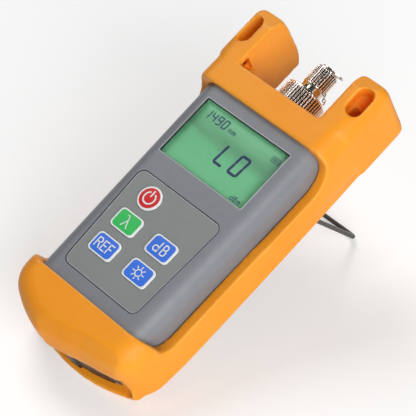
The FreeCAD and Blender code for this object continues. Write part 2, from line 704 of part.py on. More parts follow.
def make_detector():
    rim_y = "(" + PORT_INNER_Y + " - can_rim_thick)"
    body = new_body("photodiode")
    revolve(body, [
        (rim_y, "0"),
        (PORT_INNER_Y + " + can_length", "0"),
        (PORT_INNER_Y + " + can_length", "can_radius"),
        (PORT_INNER_Y, "can_radius"),
        (PORT_INNER_Y, "can_rim"),
        (rim_y, "can_rim"),
    ])
    for turn in ("0", "120", "240"):
        lead = sketch_on(body, "XZ_Plane", rim_y, "Lead")
        round_hole(lead, "lead_circle * sin(" + turn + ")",
                   "-front_depth + lead_circle * cos(" + turn + ")", "lead_radius")
        pad(lead, "detector_stand + board_thick + 2 * lead_radius")
    keep("photodiode", body)
    board_y = "(" + rim_y + " - detector_stand - board_thick)"
    body = new_body("detector_board")
    board = sketch_on(body, "XZ_Plane", board_y)
    rectangle(board, "-detector_wide / 2", "detector_wide / 2",
              "-" + BOARD_BACK + " - detector_tall", "-" + BOARD_BACK)
    pad(board, "board_thick", down=True)
    for turn in ("0", "120", "240"):
        lead = sketch_on(body, "XZ_Plane", board_y + " - " + OVERCUT, "LeadHole")
        round_hole(lead, "lead_circle * sin(" + turn + ")",
                   "-front_depth + lead_circle * cos(" + turn + ")", "lead_radius")
        pocket(lead, "board_thick + 2 * " + OVERCUT)
    keep("detector_board", body)


def make_port_base():
    body = new_body("port_base")
    revolve(body, [
        (PORT_INNER_Y, "can_radius + seat_play"),
        (PORT_INNER_Y + " + can_length + seat_play", "can_radius + seat_play"),
        (PORT_INNER_Y + " + can_length + seat_play", "light_radius"),
        (PORT_END_Y, "light_radius"),
        (PORT_END_Y, "port_radius"),
        ("case_top_y - case_wall - seat_play", "port_radius"),
        ("case_top_y - case_wall - seat_play", "port_flange_r", "port_flange_edge"),
        (PORT_INNER_Y, "port_flange_r"),
    ])
    keep("port_base", body)


def knurl(body, low, high, radius, count):
    """Straight knurl: one V groove along the axis, repeated round it."""
    sketch = sketch_on(body, "XZ_Plane", low + " - " + OVERCUT, "Groove")
    half = "(" + radius + " * sin(90 / " + count + "))"
    outline(sketch, [
        ("-" + half, "-front_depth + " + radius + " + knurl_depth / 2"),
        ("0", "-front_depth + " + radius + " - knurl_depth"),
        (half, "-front_depth + " + radius + " + knurl_depth / 2"),
    ])
    groove = pocket(sketch, "(" + high + ") - (" + low + ") + 2 * " + OVERCUT)
    axis_sketch = sketch_on(body, "YZ_Plane", "0", "Axis")
    bind(axis_sketch, ".AttachmentOffset.Base.y", "-front_depth")
    pattern = body.newObject("PartDesign::PolarPattern", "Knurl")
    pattern.Originals = [groove]
    pattern.Axis = (axis_sketch, ["H_Axis"])
    pattern.Angle = 360
    bind(pattern, "Occurrences", count)
    body.Tip = pattern
    doc.recompute()


def make_knurled_ring():
    body = new_body("knurled_ring")
    lip_y = "(" + RING_TOP_Y + " - ring_lip)"
    edge = "knurl_depth * 1.5"
    revolve(body, [
        (RING_LOW_Y, "port_radius + thread_play"),
        (lip_y, "port_radius + thread_play"),
        (lip_y, "neck_radius + thread_play"),
        (RING_TOP_Y, "neck_radius + thread_play"),
        (RING_TOP_Y, "ring_radius", edge),
        (RING_LOW_Y, "ring_radius", edge),
    ])
    knurl(body, RING_LOW_Y, RING_TOP_Y, "ring_radius", "ring_knurls")
    keep("knurled_ring", body)


def make_adapter():
    start_y = "(" + PORT_END_Y + " + seat_play)"
    body = new_body("adapter_barrel")
    revolve(body, [
        (start_y, "sleeve_outer"),
        (NOSE_END_Y, "sleeve_outer"),
        (NOSE_END_Y, "nose_radius"),
        (NECK_END_Y, "nose_radius"),
        (NECK_END_Y, "neck_radius"),
        (NECK_START_Y, "neck_radius"),
        (NECK_START_Y, "flange_radius"),
        (start_y, "flange_radius"),
    ])
    notch = sketch_on(body, "XZ_Plane", RING_TOP_Y, "KeyNotch")
    rectangle(notch, "-notch_wide / 2", "notch_wide / 2",
              "-front_depth + neck_radius - notch_deep", "-front_depth + neck_radius + " + OVERCUT)
    pocket(notch, NECK_END_Y + " - " + RING_TOP_Y + " + " + OVERCUT)
    keep("adapter_barrel", body)
    body = new_body("alignment_sleeve")
    top_y = "(" + NOSE_END_Y + " - sleeve_inset)"
    revolve(body, [
        (top_y + " - sleeve_length", "sleeve_inner"),
        (top_y, "sleeve_inner"),
        (top_y, "sleeve_outer"),
        (top_y + " - sleeve_length", "sleeve_outer"),
    ])
    slit = sketch_on(body, "XZ_Plane", top_y + " - sleeve_length - " + OVERCUT, "Slit")
    rectangle(slit, "-sleeve_slit / 2", "sleeve_slit / 2",
              "-front_depth", "-front_depth + sleeve_outer + " + OVERCUT)
    pocket(slit, "sleeve_length + 2 * " + OVERCUT)
    keep("alignment_sleeve", body)


def make_dust_cap():
    body = new_body("dust_cap")
    inner_y = "(" + CAP_TOP_Y + " - cap_end)"
    edge = "knurl_depth * 1.5"
    revolve(body, [
        (CAP_LOW_Y, "nose_radius + thread_play"),
        (inner_y, "nose_radius + thread_play"),
        (inner_y, "rivet_radius + thread_play"),
        (CAP_TOP_Y, "rivet_radius + thread_play"),
        (CAP_TOP_Y, "cap_radius", edge),
        (CAP_LOW_Y, "cap_radius", edge),
    ])
    knurl(body, CAP_LOW_Y, CAP_TOP_Y, "cap_radius", "cap_knurls")
    keep("dust_cap", body)
    # swivel washer, riveted through the cap's end
    body = new_body("cap_eyelet")
    collar_y = "(" + CAP_TOP_Y + " + seat_play)"
    washer_y = "(" + collar_y + " + washer_lift)"
    head_y = "(" + washer_y + " + washer_thick)"
    inside_y = "(" + inner_y + " - seat_play)"
    revolve(body, [
        (inside_y + " - rivet_head_thick", "0"),
        (head_y + " + rivet_head_thick", "0"),
        (head_y + " + rivet_head_thick", "rivet_head", "rivet_head_thick / 2"),
        (head_y, "rivet_head"),
        (head_y, "washer_radius"),
        (washer_y, "washer_radius"),
        (washer_y, "rivet_head"),
        (collar_y, "rivet_head"),
        (collar_y, "rivet_radius"),
        (inside_y, "rivet_radius"),
        (inside_y, "rivet_head"),
        (inside_y + " - rivet_head_thick", "rivet_head"),
    ])
    tab = sketch_on(body, "XZ_Plane", washer_y, "Tab")
    rectangle(tab, "0", "tab_reach + 1.6 * tab_hole",
              "-front_depth - 2 * tab_hole", "-front_depth + 2 * tab_hole", "tab_hole * 1.5")
    pad(tab, "washer_thick", down=True)
    hole = sketch_on(body, "XZ_Plane", washer_y + " - " + OVERCUT, "ChainHole")
    round_hole(hole, "tab_reach", "-front_depth", "tab_hole")
    pocket(hole, "washer_thick + 2 * " + OVERCUT)
    keep("cap_eyelet", body)


def make_chain():
    """Round links, each a quarter turn from the last, from the eyelet down to a loop round the neck."""
    pitch = "(2 * link_radius - 2 * link_wire - link_play)"
    eyelet_y = "(" + CAP_TOP_Y + " + seat_play + washer_lift + washer_thick / 2)"
    loop_y = "(" + RING_TOP_Y + " + link_wire + link_play)"
    drop = value(eyelet_y) - value(loop_y)
    count = int(drop / value(pitch))
    links = []
    for i in range(count):
        link = doc.addObject("Part::Torus", "link")
        bind(link, "Radius1", "link_radius")
        bind(link, "Radius2", "link_wire")
        axis = vector(0, 0, 1) if i % 2 == 0 else vector(1, 0, 0)
        place(link, "tab_reach + link_radius - link_wire - link_play",
              eyelet_y + " - " + pitch + " * %d" % i, "-front_depth", axis)
        links.append(link)
    loop = doc.addObject("Part::Torus", "neck_loop")
    bind(loop, "Radius1", "(tab_reach + neck_radius) / 2 + link_wire")
    bind(loop, "Radius2", "link_wire")
    place(loop, "(tab_reach - neck_radius) / 2", loop_y, "-front_depth", vector(0, 1, 0))
    links.append(loop)
    keep("retaining_chain", group("retaining_chain", links))


# ---------------------------------------------------------------- batteries, screws and stand

def make_batteries():
    cells = []
    for column in CELL_COLUMNS:
        can = cylinder("can", "cell_radius", "cell_length", column, CELL_LOW_Y, "-" + CELL_DEPTH,
                       vector(0, 1, 0))
        button = cylinder("button", "button_radius", "button_length", column, CELL_TOP_Y, "-" + CELL_DEPTH,
                          vector(0, 1, 0))
        cells.append(fuse("cell", [can, button]))
    keep("battery_cells", group("battery_cells", cells))
    contacts = []
    # the plates stand on the rear shell beside the door's opening
    half = "button_radius * 1.8"
    foot = "case_wall + seat_play - " + CASE_BACK
    crest = half + " - " + CELL_DEPTH
    end = CELL_TOP_Y + " + button_length"
    for column in CELL_COLUMNS:
        contacts.append(box("plus_contact", column + " - " + half, column + " + " + half,
                            end, end + " + contact_thick", foot, crest))
    contacts.append(box("minus_contact", "-3 * cell_radius + contact_thick",
                        "3 * cell_radius - contact_thick",
                        CELL_LOW_Y + " - contact_thick", CELL_LOW_Y, foot, crest))
    keep("battery_contacts", group("battery_contacts", contacts))
    body = new_body("battery_door")
    door = sketch_on(body, "XY_Plane", "-" + CASE_BACK)
    rectangle(door, "-" + DOOR_HALF, DOOR_HALF, DOOR_LOW_Y, DOOR_TOP_Y, "door_ledge")
    pad(door, "door_thick")
    grip = sketch_on(body, "XY_Plane", "-" + CASE_BACK, "Grip")
    for i in range(3):
        low = DOOR_TOP_Y + " - %d * door_ledge" % (2 * i + 3)
        rectangle(grip, "-" + DOOR_HALF + " / 3", DOOR_HALF + " / 3", low, low + " + door_ledge / 2")
    pocket(grip, "door_thick / 3", up=True)
    keep("battery_door", body)


def make_screws():
    screws = []
    head_z = "(case_wall - " + CASE_BACK + ")"
    for x, y in POSTS:
        shank = cylinder("shank", "screw_radius", "rear_depth - case_wall + screw_reach", x, y, head_z,
                         vector(0, 0, 1))
        head = cylinder("head", "screw_head", "screw_head_thick", x, y, head_z + " - screw_head_thick",
                        vector(0, 0, 1))
        blank = fuse("screw_blank", [head, shank])
        slot_long = box("slot", x + " - screw_head * 0.6", x + " + screw_head * 0.6",
                        y + " - screw_radius / 4", y + " + screw_radius / 4",
                        head_z + " - screw_head_thick - " + OVERCUT, head_z + " - screw_head_thick / 2")
        slot_cross = box("slot", x + " - screw_radius / 4", x + " + screw_radius / 4",
                         y + " - screw_head * 0.6", y + " + screw_head * 0.6",
                         head_z + " - screw_head_thick - " + OVERCUT, head_z + " - screw_head_thick / 2")
        screws.append(cut("screw", blank, [slot_long, slot_cross]))
    keep("case_screws", group("case_screws", screws))


def make_stand():
    """U-shaped stand, drawn folded flat against the back."""
    body = new_body("stand_bail")
    sketch = sketch_on(body, "XY_Plane", "-" + HINGE_DEPTH)
    inner_y = STAND_TIP_Y + " + leg_wide"
    inner_corner = "stand_corner - leg_wide"
    outline(sketch, [
        ("-" + LEG_OUTER, "hinge_y"),
        ("-" + LEG_OUTER, STAND_TIP_Y, "stand_corner"),
        (LEG_OUTER, STAND_TIP_Y, "stand_corner"),
        (LEG_OUTER, "hinge_y"),
        (LEG_INNER, "hinge_y"),
        (LEG_INNER, inner_y, inner_corner),
        ("-" + LEG_INNER, inner_y, inner_corner),
        ("-" + LEG_INNER, "hinge_y"),
    ])
    legs = pad(sketch, "leg_thick", both=True)
    level = value("-" + HINGE_DEPTH)
    half = value("leg_thick / 2")
    top_y = value("hinge_y")
    fillet(legs, "leg_edge", lambda box: box.ZLength < SAME and abs(abs(box.ZMin - level) - half) < SAME
           and box.YMin < top_y - SAME)
    for side in ("1", "-1"):
        eye = sketch_on(body, "YZ_Plane", side + " * " + STAND_HALF, "Eye")
        round_hole(eye, "hinge_y", "-" + HINGE_DEPTH, "eye_radius")
        pad(eye, "leg_wide", both=True)
    bore = sketch_on(body, "YZ_Plane", "0", "PinBore")
    round_hole(bore, "hinge_y", "-" + HINGE_DEPTH, "pin_radius + pin_play")
    pocket(bore, "2 * " + LEG_OUTER + " + " + OVERCUT, both=True)
    keep("stand_bail", body)
    pins = []
    for side in (1, -1):
        outward = vector(side, 0, 0)
        sign = "%d * " % side
        head_x = "(" + LEG_OUTER + " + hinge_play)"
        pin = cylinder("pin", "pin_radius", head_x + " - " + LUG_INNER, sign + LUG_INNER, "hinge_y",
                       "-" + HINGE_DEPTH, outward)
        head = cylinder("pin_head", "pin_head", "pin_head_thick", sign + head_x, "hinge_y",
                        "-" + HINGE_DEPTH, outward)
        pins.append(fuse("headed_pin", [pin, head]))
    keep("stand_pins", group("stand_pins", pins))


# ---------------------------------------------------------------- rubber boot

def make_boot():
    """Moulded boot: the outer form less the case, the front opening, the horn notch and its openings."""
    body = new_body("boot_form")
    sketch = sketch_on(body, "XY_Plane", "-" + BOOT_BACK)
    outline(sketch, [
        (BOOT_HALF_LOW, SHOULDER_Y, "boot_corner"),
        (BOOT_HALF_TOP, HORN_TOP_Y, "horn_corner"),
        ("-" + BOOT_HALF_TOP, HORN_TOP_Y, "horn_corner"),
        ("-" + BOOT_HALF_LOW, SHOULDER_Y, "boot_corner"),
        ("0", END_TIP_Y, END_RADIUS),
    ])
    block = pad(sketch, BOOT_BACK + " + boot_front")
    front = fillet(block, "boot_front_edge", at_level("boot_front"))
    fillet(front, "boot_back_edge", at_level("-" + BOOT_BACK))
    # front opening, seen from the side: down from the band, along the lip and up to the cup
    opening = sketch_on(body, "YZ_Plane", "0", "FrontOpening")
    outline(opening, [
        (CUP_TOP_Y, "-lip_depth", "lip_sweep"),
        (BAND_LOW_Y, "-lip_depth", "lip_sweep"),
        (BAND_LOW_Y, "boot_front + " + OVERCUT),
        (CUP_TOP_Y, "boot_front + " + OVERCUT),
    ])
    pocket(opening, "2 * " + BOOT_HALF_TOP + " + " + OVERCUT, both=True)
    notch = sketch_on(body, "XY_Plane", "boot_front + " + OVERCUT, "Notch")
    rectangle(notch, "-notch_half", "notch_half", BAND_TOP_Y, HORN_TOP_Y + " + " + OVERCUT)
    pocket(notch, BOOT_BACK + " + boot_front + 2 * " + OVERCUT)
    end_pocket = sketch_on(body, "XZ_Plane", BOOT_END_Y + " - " + OVERCUT, "EndPocket")
    rectangle(end_pocket, "-" + POCKET_HALF, POCKET_HALF,
              "-pocket_depth_z - pocket_height / 2", "-pocket_depth_z + pocket_height / 2",
              "pocket_height * 0.48")
    pocket(end_pocket, "end_wall + 2 * " + OVERCUT)
    window = sketch_on(body, "XY_Plane", "-" + BOOT_BACK + " - " + OVERCUT, "StandWindow")
    rectangle(window, "-" + WINDOW_HALF, WINDOW_HALF,
              STAND_TIP_Y + " - window_margin", "hinge_y + eye_radius + stop_length + window_margin",
              "window_margin")
    pocket(window, "boot_back + 2 * " + OVERCUT, up=True)
    port = sketch_on(body, "XZ_Plane", "case_top_y - " + OVERCUT, "PortHole")
    round_hole(port, "0", "-front_depth", "port_radius + 4 * port_hole_gap")
    pocket(port, "band_wall + boot_gap + 2 * " + OVERCUT)
    # strap exit at the foot of each horn and the passage up to the slot
    for side in ("1", "-1"):
        exit_hole = sketch_on(body, "YZ_Plane", side + " * (notch_half + strap_room / 2)", "StrapExit")
        rectangle(exit_hole, BAND_TOP_Y, BAND_TOP_Y + " + strap_exit", "-2 * strap_room", "-strap_room / 4")
        pocket(exit_hole, "strap_room + " + OVERCUT, both=True)
        passage = sketch_on(body, "YZ_Plane", side + " * (notch_half + strap_room)", "StrapPassage")
        rectangle(passage, BAND_TOP_Y + " + strap_exit / 2", BAND_TOP_Y + " + slot_rise",
                  "-2 * strap_room", "-strap_room")
        pocket(passage, "strap_room / 2", both=True)
    tools = [body_of_cavity()] + [slot_tool(side) for side in (1, -1)]
    keep("boot", cut("boot", body, tools))


def body_of_cavity():
    """The room for the case, a fit larger all round."""
    body = new_body("case_room")
    block = case_block(body, "-" + CASE_BACK + " - boot_gap", "boot_gap", "boot_gap")
    front = fillet(block, "face_edge + boot_gap", at_level("boot_gap"))
    fillet(front, "rear_edge + boot_gap", at_level("-" + CASE_BACK + " - boot_gap"))
    return body


def slot_tool(side):
    """Strap slot, driven square into the horn's rounded front corner."""
    body = new_body("strap_slot")
    sketch = sketch_on(body, "XY_Plane", "0")
    rectangle(sketch, "-slot_width / 2", "slot_width / 2", "-slot_length / 2", "slot_length / 2",
              "slot_width * 0.49")
    pad(sketch, "2 * slot_depth", both=True)
    body.Placement = FreeCAD.Placement(vector(0, 0, 0), FreeCAD.Rotation(vector(0, 1, 0), 45 * side))
    bind(body, ".Placement.Base.x", "%d * (" % side + BOOT_HALF_TOP + " - boot_front_edge * 0.3)")
    bind(body, ".Placement.Base.y", BAND_TOP_Y + " + slot_rise")
    bind(body, ".Placement.Base.z", "boot_front - boot_front_edge * 0.3")
    return body


# ---------------------------------------------------------------- how the meter rests

def resting_lean():
    """Lean at which the boot's heel and the open stand's foot touch one plane, in degrees."""
    heel = (value(BOOT_END_Y + " + boot_back_edge"), value("boot_back_edge - " + BOOT_BACK))
    over = math.radians(value("stand_open - 90"))
    along = value("stand_reach - leg_edge")
    across = value("leg_thick / 2 - leg_edge")
    foot = (value("hinge_y") + along * math.sin(over) - across * math.cos(over),
            -value(HINGE_DEPTH) - along * math.cos(over) - across * math.sin(over))
    run, drop = foot[0] - heel[0], heel[1] - foot[1]
    gap = value("leg_edge - boot_back_edge")
    return math.degrees(math.atan2(drop, run) + math.asin(gap / math.hypot(run, drop)))


def rest_pose(item, lean):
    """Placement of a piece in the leaned meter; the stand is swung open first."""
    swing = FreeCAD.Placement()
    if item.Label == "stand_bail":
        axle = vector(0, value("hinge_y"), -value(HINGE_DEPTH))
        opening = FreeCAD.Rotation(vector(1, 0, 0), value("stand_open"))
        swing = FreeCAD.Placement(vector(0, 0, 0), opening, axle)
    return FreeCAD.Placement(vector(0, 0, 0), FreeCAD.Rotation(vector(1, 0, 0), lean)) * swing


def stand_on_floor():
    """Lean every piece, then put the middle of the whole meter's footprint on the origin."""
    lean = resting_lean()
    boxes = FreeCAD.BoundBox()
    for item in parts.values():
        item.Placement = rest_pose(item, lean)
    doc.recompute()
    for item in parts.values():
        boxes.add(item.Shape.optimalBoundingBox(False, False))
    shift = vector(-boxes.Center.x, -boxes.Center.y, -boxes.ZMin)
    for item in parts.values():
        item.Placement.Base = item.Placement.Base + shift
    doc.recompute()
    return lean, shift


def check_and_write():
    for item in doc.Objects:
        if "Invalid" in item.State or "Error" in item.State:
            raise RuntimeError(item.Label + " failed")
    os.makedirs("parts", exist_ok=True)
    for node, item in parts.items():
        if item.Shape.isNull() or not item.Shape.isValid():
            raise RuntimeError(node + " has no valid shape")
        item.Shape.exportStep("parts/" + node + ".step")


make_boot()
make_front_shell()
make_rear_shell()
make_display()
make_keypad()
make_boards()
make_detector()
make_port_base()
make_knurled_ring()
make_adapter()
make_dust_cap()
make_chain()
make_batteries()
make_screws()
make_stand()
lean, shift = stand_on_floor()
check_and_write()
print("lean %.3f degrees, shift %.3f %.3f %.3f mm" % (lean, shift.x, shift.y, shift.z))
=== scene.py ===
import json
import math

import bmesh
import bpy
import numpy as np
from mathutils import Matrix, Vector


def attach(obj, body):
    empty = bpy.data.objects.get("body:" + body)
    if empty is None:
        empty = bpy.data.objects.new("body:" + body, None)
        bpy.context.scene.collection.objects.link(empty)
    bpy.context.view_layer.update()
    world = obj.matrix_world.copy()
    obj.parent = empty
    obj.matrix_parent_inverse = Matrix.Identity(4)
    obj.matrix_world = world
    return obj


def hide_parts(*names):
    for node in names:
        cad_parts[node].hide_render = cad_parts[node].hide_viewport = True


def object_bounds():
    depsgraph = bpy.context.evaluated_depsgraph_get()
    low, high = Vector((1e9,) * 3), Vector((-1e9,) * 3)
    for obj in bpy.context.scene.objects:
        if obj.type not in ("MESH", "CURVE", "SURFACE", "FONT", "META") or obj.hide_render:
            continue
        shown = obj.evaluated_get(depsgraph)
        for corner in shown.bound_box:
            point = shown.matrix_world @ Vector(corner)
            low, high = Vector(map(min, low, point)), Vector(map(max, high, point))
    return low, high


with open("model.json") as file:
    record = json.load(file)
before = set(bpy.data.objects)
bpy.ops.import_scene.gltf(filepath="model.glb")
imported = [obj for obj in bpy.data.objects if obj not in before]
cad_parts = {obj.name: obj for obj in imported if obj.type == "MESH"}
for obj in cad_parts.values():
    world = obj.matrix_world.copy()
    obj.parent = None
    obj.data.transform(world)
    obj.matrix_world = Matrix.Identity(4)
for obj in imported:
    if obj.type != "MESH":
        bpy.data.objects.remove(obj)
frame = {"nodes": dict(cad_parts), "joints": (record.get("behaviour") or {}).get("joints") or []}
cad_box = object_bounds()

# The meter's own frame, in millimetres: X across, Y towards the port, Z out of the face, face at 0.
# The ring's joint lies on the port's axis, so it gives the lean and the place of that frame.
MM = 0.001
PORT_DEPTH = -17.7
RING_MIDDLE_Y = 74.0
ring_joint = next(j for j in frame["joints"] if j["name"] == "ring_turn")
LEAN = math.atan2(ring_joint["axis"][2], ring_joint["axis"][1])
TURN = np.array([[1, 0, 0], [0, math.cos(LEAN), -math.sin(LEAN)], [0, math.sin(LEAN), math.cos(LEAN)]])
SHIFT = np.array(ring_joint["pos_m"]) - TURN @ (np.array([0, RING_MIDDLE_Y, PORT_DEPTH]) * MM)

# display
SCREEN_HALF, SCREEN_LOW, SCREEN_HIGH = 25.65, 15.5, 47.5
LCD_TOP = -2.7
PRINT_RISE = 0.06

# keypad
KEY_HALF, KEY_CORNER, POWER_RADIUS = (7.1, 5.05), 2.2, 5.9
KEY_RISE, KEY_SINK, KEY_EDGE, KEY_CROWN, SIGN_RISE = 0.4, 0.25, 0.28, 0.12, 0.2
KEYS = {
    "power_key": (-11.5, -4.5),
    "wavelength_key": (-11.5, -18.9),
    "decibel_key": (10.4, -18.9),
    "reference_key": (-11.5, -33.1),
    "backlight_key": (10.4, -33.1),
}
SHEET_CORNERS, SHEET_ROUNDING = [(23.05, -48.8), (25.65, 4.75), (-25.65, 4.75), (-23.05, -48.8)], 4.0

# boot: sides, face and back; the horns' feet, tips and inner sides; the bottom end and its arc
BOOT_SIDE, BOOT_FACE, BOOT_REAR = 40.2, 2.8, -34.5
HORN_FOOT, HORN_TIP, NOTCH_SIDE = 68.0, 96.9, 24.7
BOOT_END, END_ARC = -80.3, 60.0
# its plan: half width at the bottom, what the sides gain over their length, and the bottom corners' arc
LOW_HALF, TAPER_FOOT, TAPER_GAIN, TAPER_LENGTH = 38.3, -66.0, 1.9, 163.0
CORNER_TOP, CORNER_ARC = -59.4, 14.0
# the filled edges' lower and upper ends, and the band's lower edge
FILL_LOW, FILL_HIGH, BAND_LOW = -71.0, 93.0, 54.4
BOOT_NET = 0.8

# strap slots
SLOT_MIDDLE, SLOT_TILT, SLOT_HALF = (33.9, 84.0, 1.9), 22.0, (3.7, 7.4)

# light: the sky's strength as it lights the object and as it is seen, the floor's own glow as it is seen,
# and the place that the lamps point to
SKY_STRENGTH, SKY_SEEN, FLOOR_GLOW, LAMP_TARGET = 1.28, 1.0, 0.4, (0, 0, 0.05)

# camera
AZIMUTH, ELEVATION, ROLL = math.radians(46.774), math.radians(44.559), math.radians(-0.164)
CAMERA_PLACE, LENS = (0.45623, -0.42327, 0.66162), 173.08

# knurls
RING_GROOVES, RING_KNURL = 44, 0.6
CAP_GROOVES, CAP_KNURL = 28, 0.5
STEPS_A_GROOVE = 12


# ---------------------------------------------------------------- surfaces

def placed(points):
    """Points of the meter's frame in millimetres, leaned back and set on the floor, in metres."""
    return np.asarray(points, float) * MM @ TURN.T + SHIFT


def add_object(name, data):
    """Object in the scene, at the origin, for a mesh, a lamp or a camera."""
    item = bpy.data.objects.new(name, data)
    bpy.context.scene.collection.objects.link(item)
    return item


def piece(name, points, faces, body, material, smooth=True):
    """Mesh object from points in the meter's frame and faces of any size, riding on a body."""
    mesh = bpy.data.meshes.new(name)
    mesh.from_pydata(placed(points).tolist(), [], [list(map(int, face)) for face in faces])
    mesh.update()
    item = add_object(name, mesh)
    if smooth:
        mesh.shade_smooth()
    else:
        mesh.shade_flat()
    mesh.materials.append(material)
    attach(item, body)
    return item


def write_attribute(item, name, numbers):
    """One number at each point of the piece, for its material to read."""
    attribute = item.data.attributes.new(name, "FLOAT", "POINT")
    attribute.data.foreach_set("value", numbers.reshape(-1).astype(np.float32))


def face_outwards(mesh, merge=0.0):
    """Merge the points that lie within the given distance, then turn every face outwards."""
    work = bmesh.new()
    work.from_mesh(mesh)
    if merge:
        bmesh.ops.remove_doubles(work, verts=work.verts, dist=merge)
    bmesh.ops.recalc_face_normals(work, faces=work.faces)
    work.to_mesh(mesh)
    work.free()


def grid_faces(rows, columns, wrap_rows=False, wrap_columns=False, start=0):
    """Quads between neighbouring rows and columns of a grid of points, wrapped where the sheet closes."""
    r = np.arange(rows if wrap_rows else rows - 1)[:, None]
    c = np.arange(columns if wrap_columns else columns - 1)[None, :]
    r_next, c_next = (r + 1) % rows, (c + 1) % columns
    quads = np.stack([r * columns + c, r * columns + c_next,
                      r_next * columns + c_next, r_next * columns + c], -1)
    return (quads.reshape(-1, 4) + start).tolist()


def stack_faces(count, around):
    """Faces of a closed solid made of stacked rings: quads between them, and a lid at each end."""
    lids = [list(range(around))[::-1], list(range((count - 1) * around, count * around))]
    return grid_faces(count, around, False, True) + lids


def angles(begin, finish, count):
    """Evenly spaced angles between two that are given in degrees."""
    return np.radians(np.linspace(begin, finish, count))


def full_circle(count):
    """Evenly spaced angles round a circle, the last one short of the first."""
    return np.arange(count) * 2 * math.pi / count


def turned(name, profile, body, material, grooves):
    """Surface of revolution about the port's axis. A ring of the profile (distance along Y, radius, knurl
    depth) is turned through the circle; where the knurl depth isn't zero the radius dips by that depth, one
    flat-topped triangle wave per groove. The attribute is 1 on the crests and 0 in the grooves."""
    along, radius, depth = np.array(profile, float).T
    angle = full_circle(grooves * STEPS_A_GROOVE)
    phase = (angle * grooves / (2 * math.pi)) % 1
    crest = np.clip(1.9 * (1 - np.abs(2 * phase - 1)) - 0.2, 0, 1)
    r = radius[:, None] - depth[:, None] * (1 - crest)[None, :]
    points = np.stack([r * np.sin(angle), np.broadcast_to(along[:, None], r.shape),
                       PORT_DEPTH + r * np.cos(angle)], -1)
    faces = grid_faces(len(profile), len(angle), True, True)
    item = piece(name, points.reshape(-1, 3), faces, body, material)
    write_attribute(item, "crest", np.where(depth[:, None] > 0, crest[None, :], 1.0))
    return item


def rounded_loop(half_x, half_y, corner, steps=10):
    """Points round a rectangle with circular corners, anticlockwise, with the outward direction at each."""
    turn = np.linspace(0, math.pi / 2, steps)
    points, out = [], []
    for i, (sx, sy) in enumerate([(1, 1), (-1, 1), (-1, -1), (1, -1)]):
        direction = np.stack([np.cos(turn + i * math.pi / 2), np.sin(turn + i * math.pi / 2)], -1)
        points.append(np.array([sx * (half_x - corner), sy * (half_y - corner)]) + corner * direction)
        out.append(direction)
    return np.concatenate(points), np.concatenate(out)


def ring_loop(radius, steps=48):
    """Points round a circle, with the outward direction at each."""
    turn = full_circle(steps)
    direction = np.stack([np.cos(turn), np.sin(turn)], -1)
    return radius * direction, direction


def frame_strip(name, loop, centre, profile, body, material):
    """Closed strip carried round a loop; the profile's points are (offset outwards, height)."""
    points, out = loop
    profile = np.array(profile, float)
    plan = points[None] + out[None] * profile[:, :1, None] + np.array(centre)
    height = np.broadcast_to(profile[:, 1, None, None], plan.shape[:2] + (1,))
    grid = np.concatenate([plan, height], -1)
    faces = grid_faces(len(profile), len(points), True, True)
    return piece(name, grid.reshape(-1, 3), faces, body, material)


def pillow(name, loop, centre, base, edge, crown, body, material, rings=14):
    """Domed lid over a loop: a quarter-circle edge from the base, then a shallow crown that falls off with
    the square of the distance from the middle. The attribute holds the distance from the edge."""
    points, _ = loop
    reach = np.linalg.norm(points, axis=1).min()
    turn = np.linspace(0, math.pi / 2, 6)
    inset = np.concatenate([edge * (1 - np.cos(turn)), np.linspace(edge, reach * 0.98, rings)[1:]])
    lift = np.concatenate([edge * np.sin(turn), np.full(rings - 1, edge)])
    share = inset / reach
    plan = points[None] * (1 - share[:, None, None])
    lift = lift + crown * (1 - (1 - share) ** 2)
    height = np.broadcast_to((base + lift)[:, None, None], plan.shape[:2] + (1,))
    grid = np.concatenate([plan + np.array(centre), height], -1).reshape(-1, 3)
    faces = grid_faces(len(share), len(points), False, True)
    faces.append(list(range((len(share) - 1) * len(points), len(share) * len(points))))
    item = piece(name, grid, faces, body, material)
    write_attribute(item, "edge_distance", np.repeat(share * reach, len(points)))
    return item


def even_line(points, step=0.15):
    """The line through the points, resampled at an even step along its length."""
    points = np.array(points, float)
    length = np.concatenate([[0], np.cumsum(np.linalg.norm(np.diff(points, axis=0), axis=1))])
    count = max(2, int(length[-1] / step) + 1)
    s = np.linspace(0, length[-1], count)
    return np.stack([np.interp(s, length, points[:, i]) for i in range(2)], -1)


def strokes(name, lines, centre, width, level, body, material):
    """Printed marks: each line is a flat ribbon of the given width at the level. Its half width falls to
    nothing over a quarter circle beyond each end, so the ends are round."""
    half, across = width / 2, np.array([1.0, 0.0, -1.0])
    cap = np.linspace(math.pi / 2, 0, 6)[:-1]
    all_points, all_faces, start = [], [], 0
    for line in lines:
        line = even_line(line)
        tangent = np.gradient(line, axis=0)
        tangent /= np.linalg.norm(tangent, axis=1)[:, None]
        side = np.stack([-tangent[:, 1], tangent[:, 0]], -1)
        head = line[0] - tangent[0] * half * np.sin(cap)[:, None]
        tail = line[-1] + tangent[-1] * half * np.sin(cap[::-1])[:, None]
        spine = np.concatenate([head, line, tail])
        reach = np.concatenate([half * np.cos(cap), np.full(len(line), half), half * np.cos(cap[::-1])])
        sides = np.concatenate([np.repeat(side[:1], len(cap), 0), side, np.repeat(side[-1:], len(cap), 0)])
        plan = spine[:, None] + sides[:, None] * reach[:, None, None] * across[None, :, None]
        height = np.full(plan.shape[:2] + (1,), level)
        grid = np.concatenate([plan + np.array(centre), height], -1).reshape(-1, 3)
        all_points.append(grid)
        all_faces += grid_faces(len(spine), len(across), start=start)
        start += len(grid)
    return piece(name, np.concatenate(all_points), all_faces, body, material)


# ---------------------------------------------------------------- shader nodes and groups

def feed(tree, socket, given):
    """Link the socket to another node's output where one is given, or else set its value."""
    if isinstance(given, bpy.types.NodeSocket):
        tree.links.new(given, socket)
    else:
        socket.default_value = given


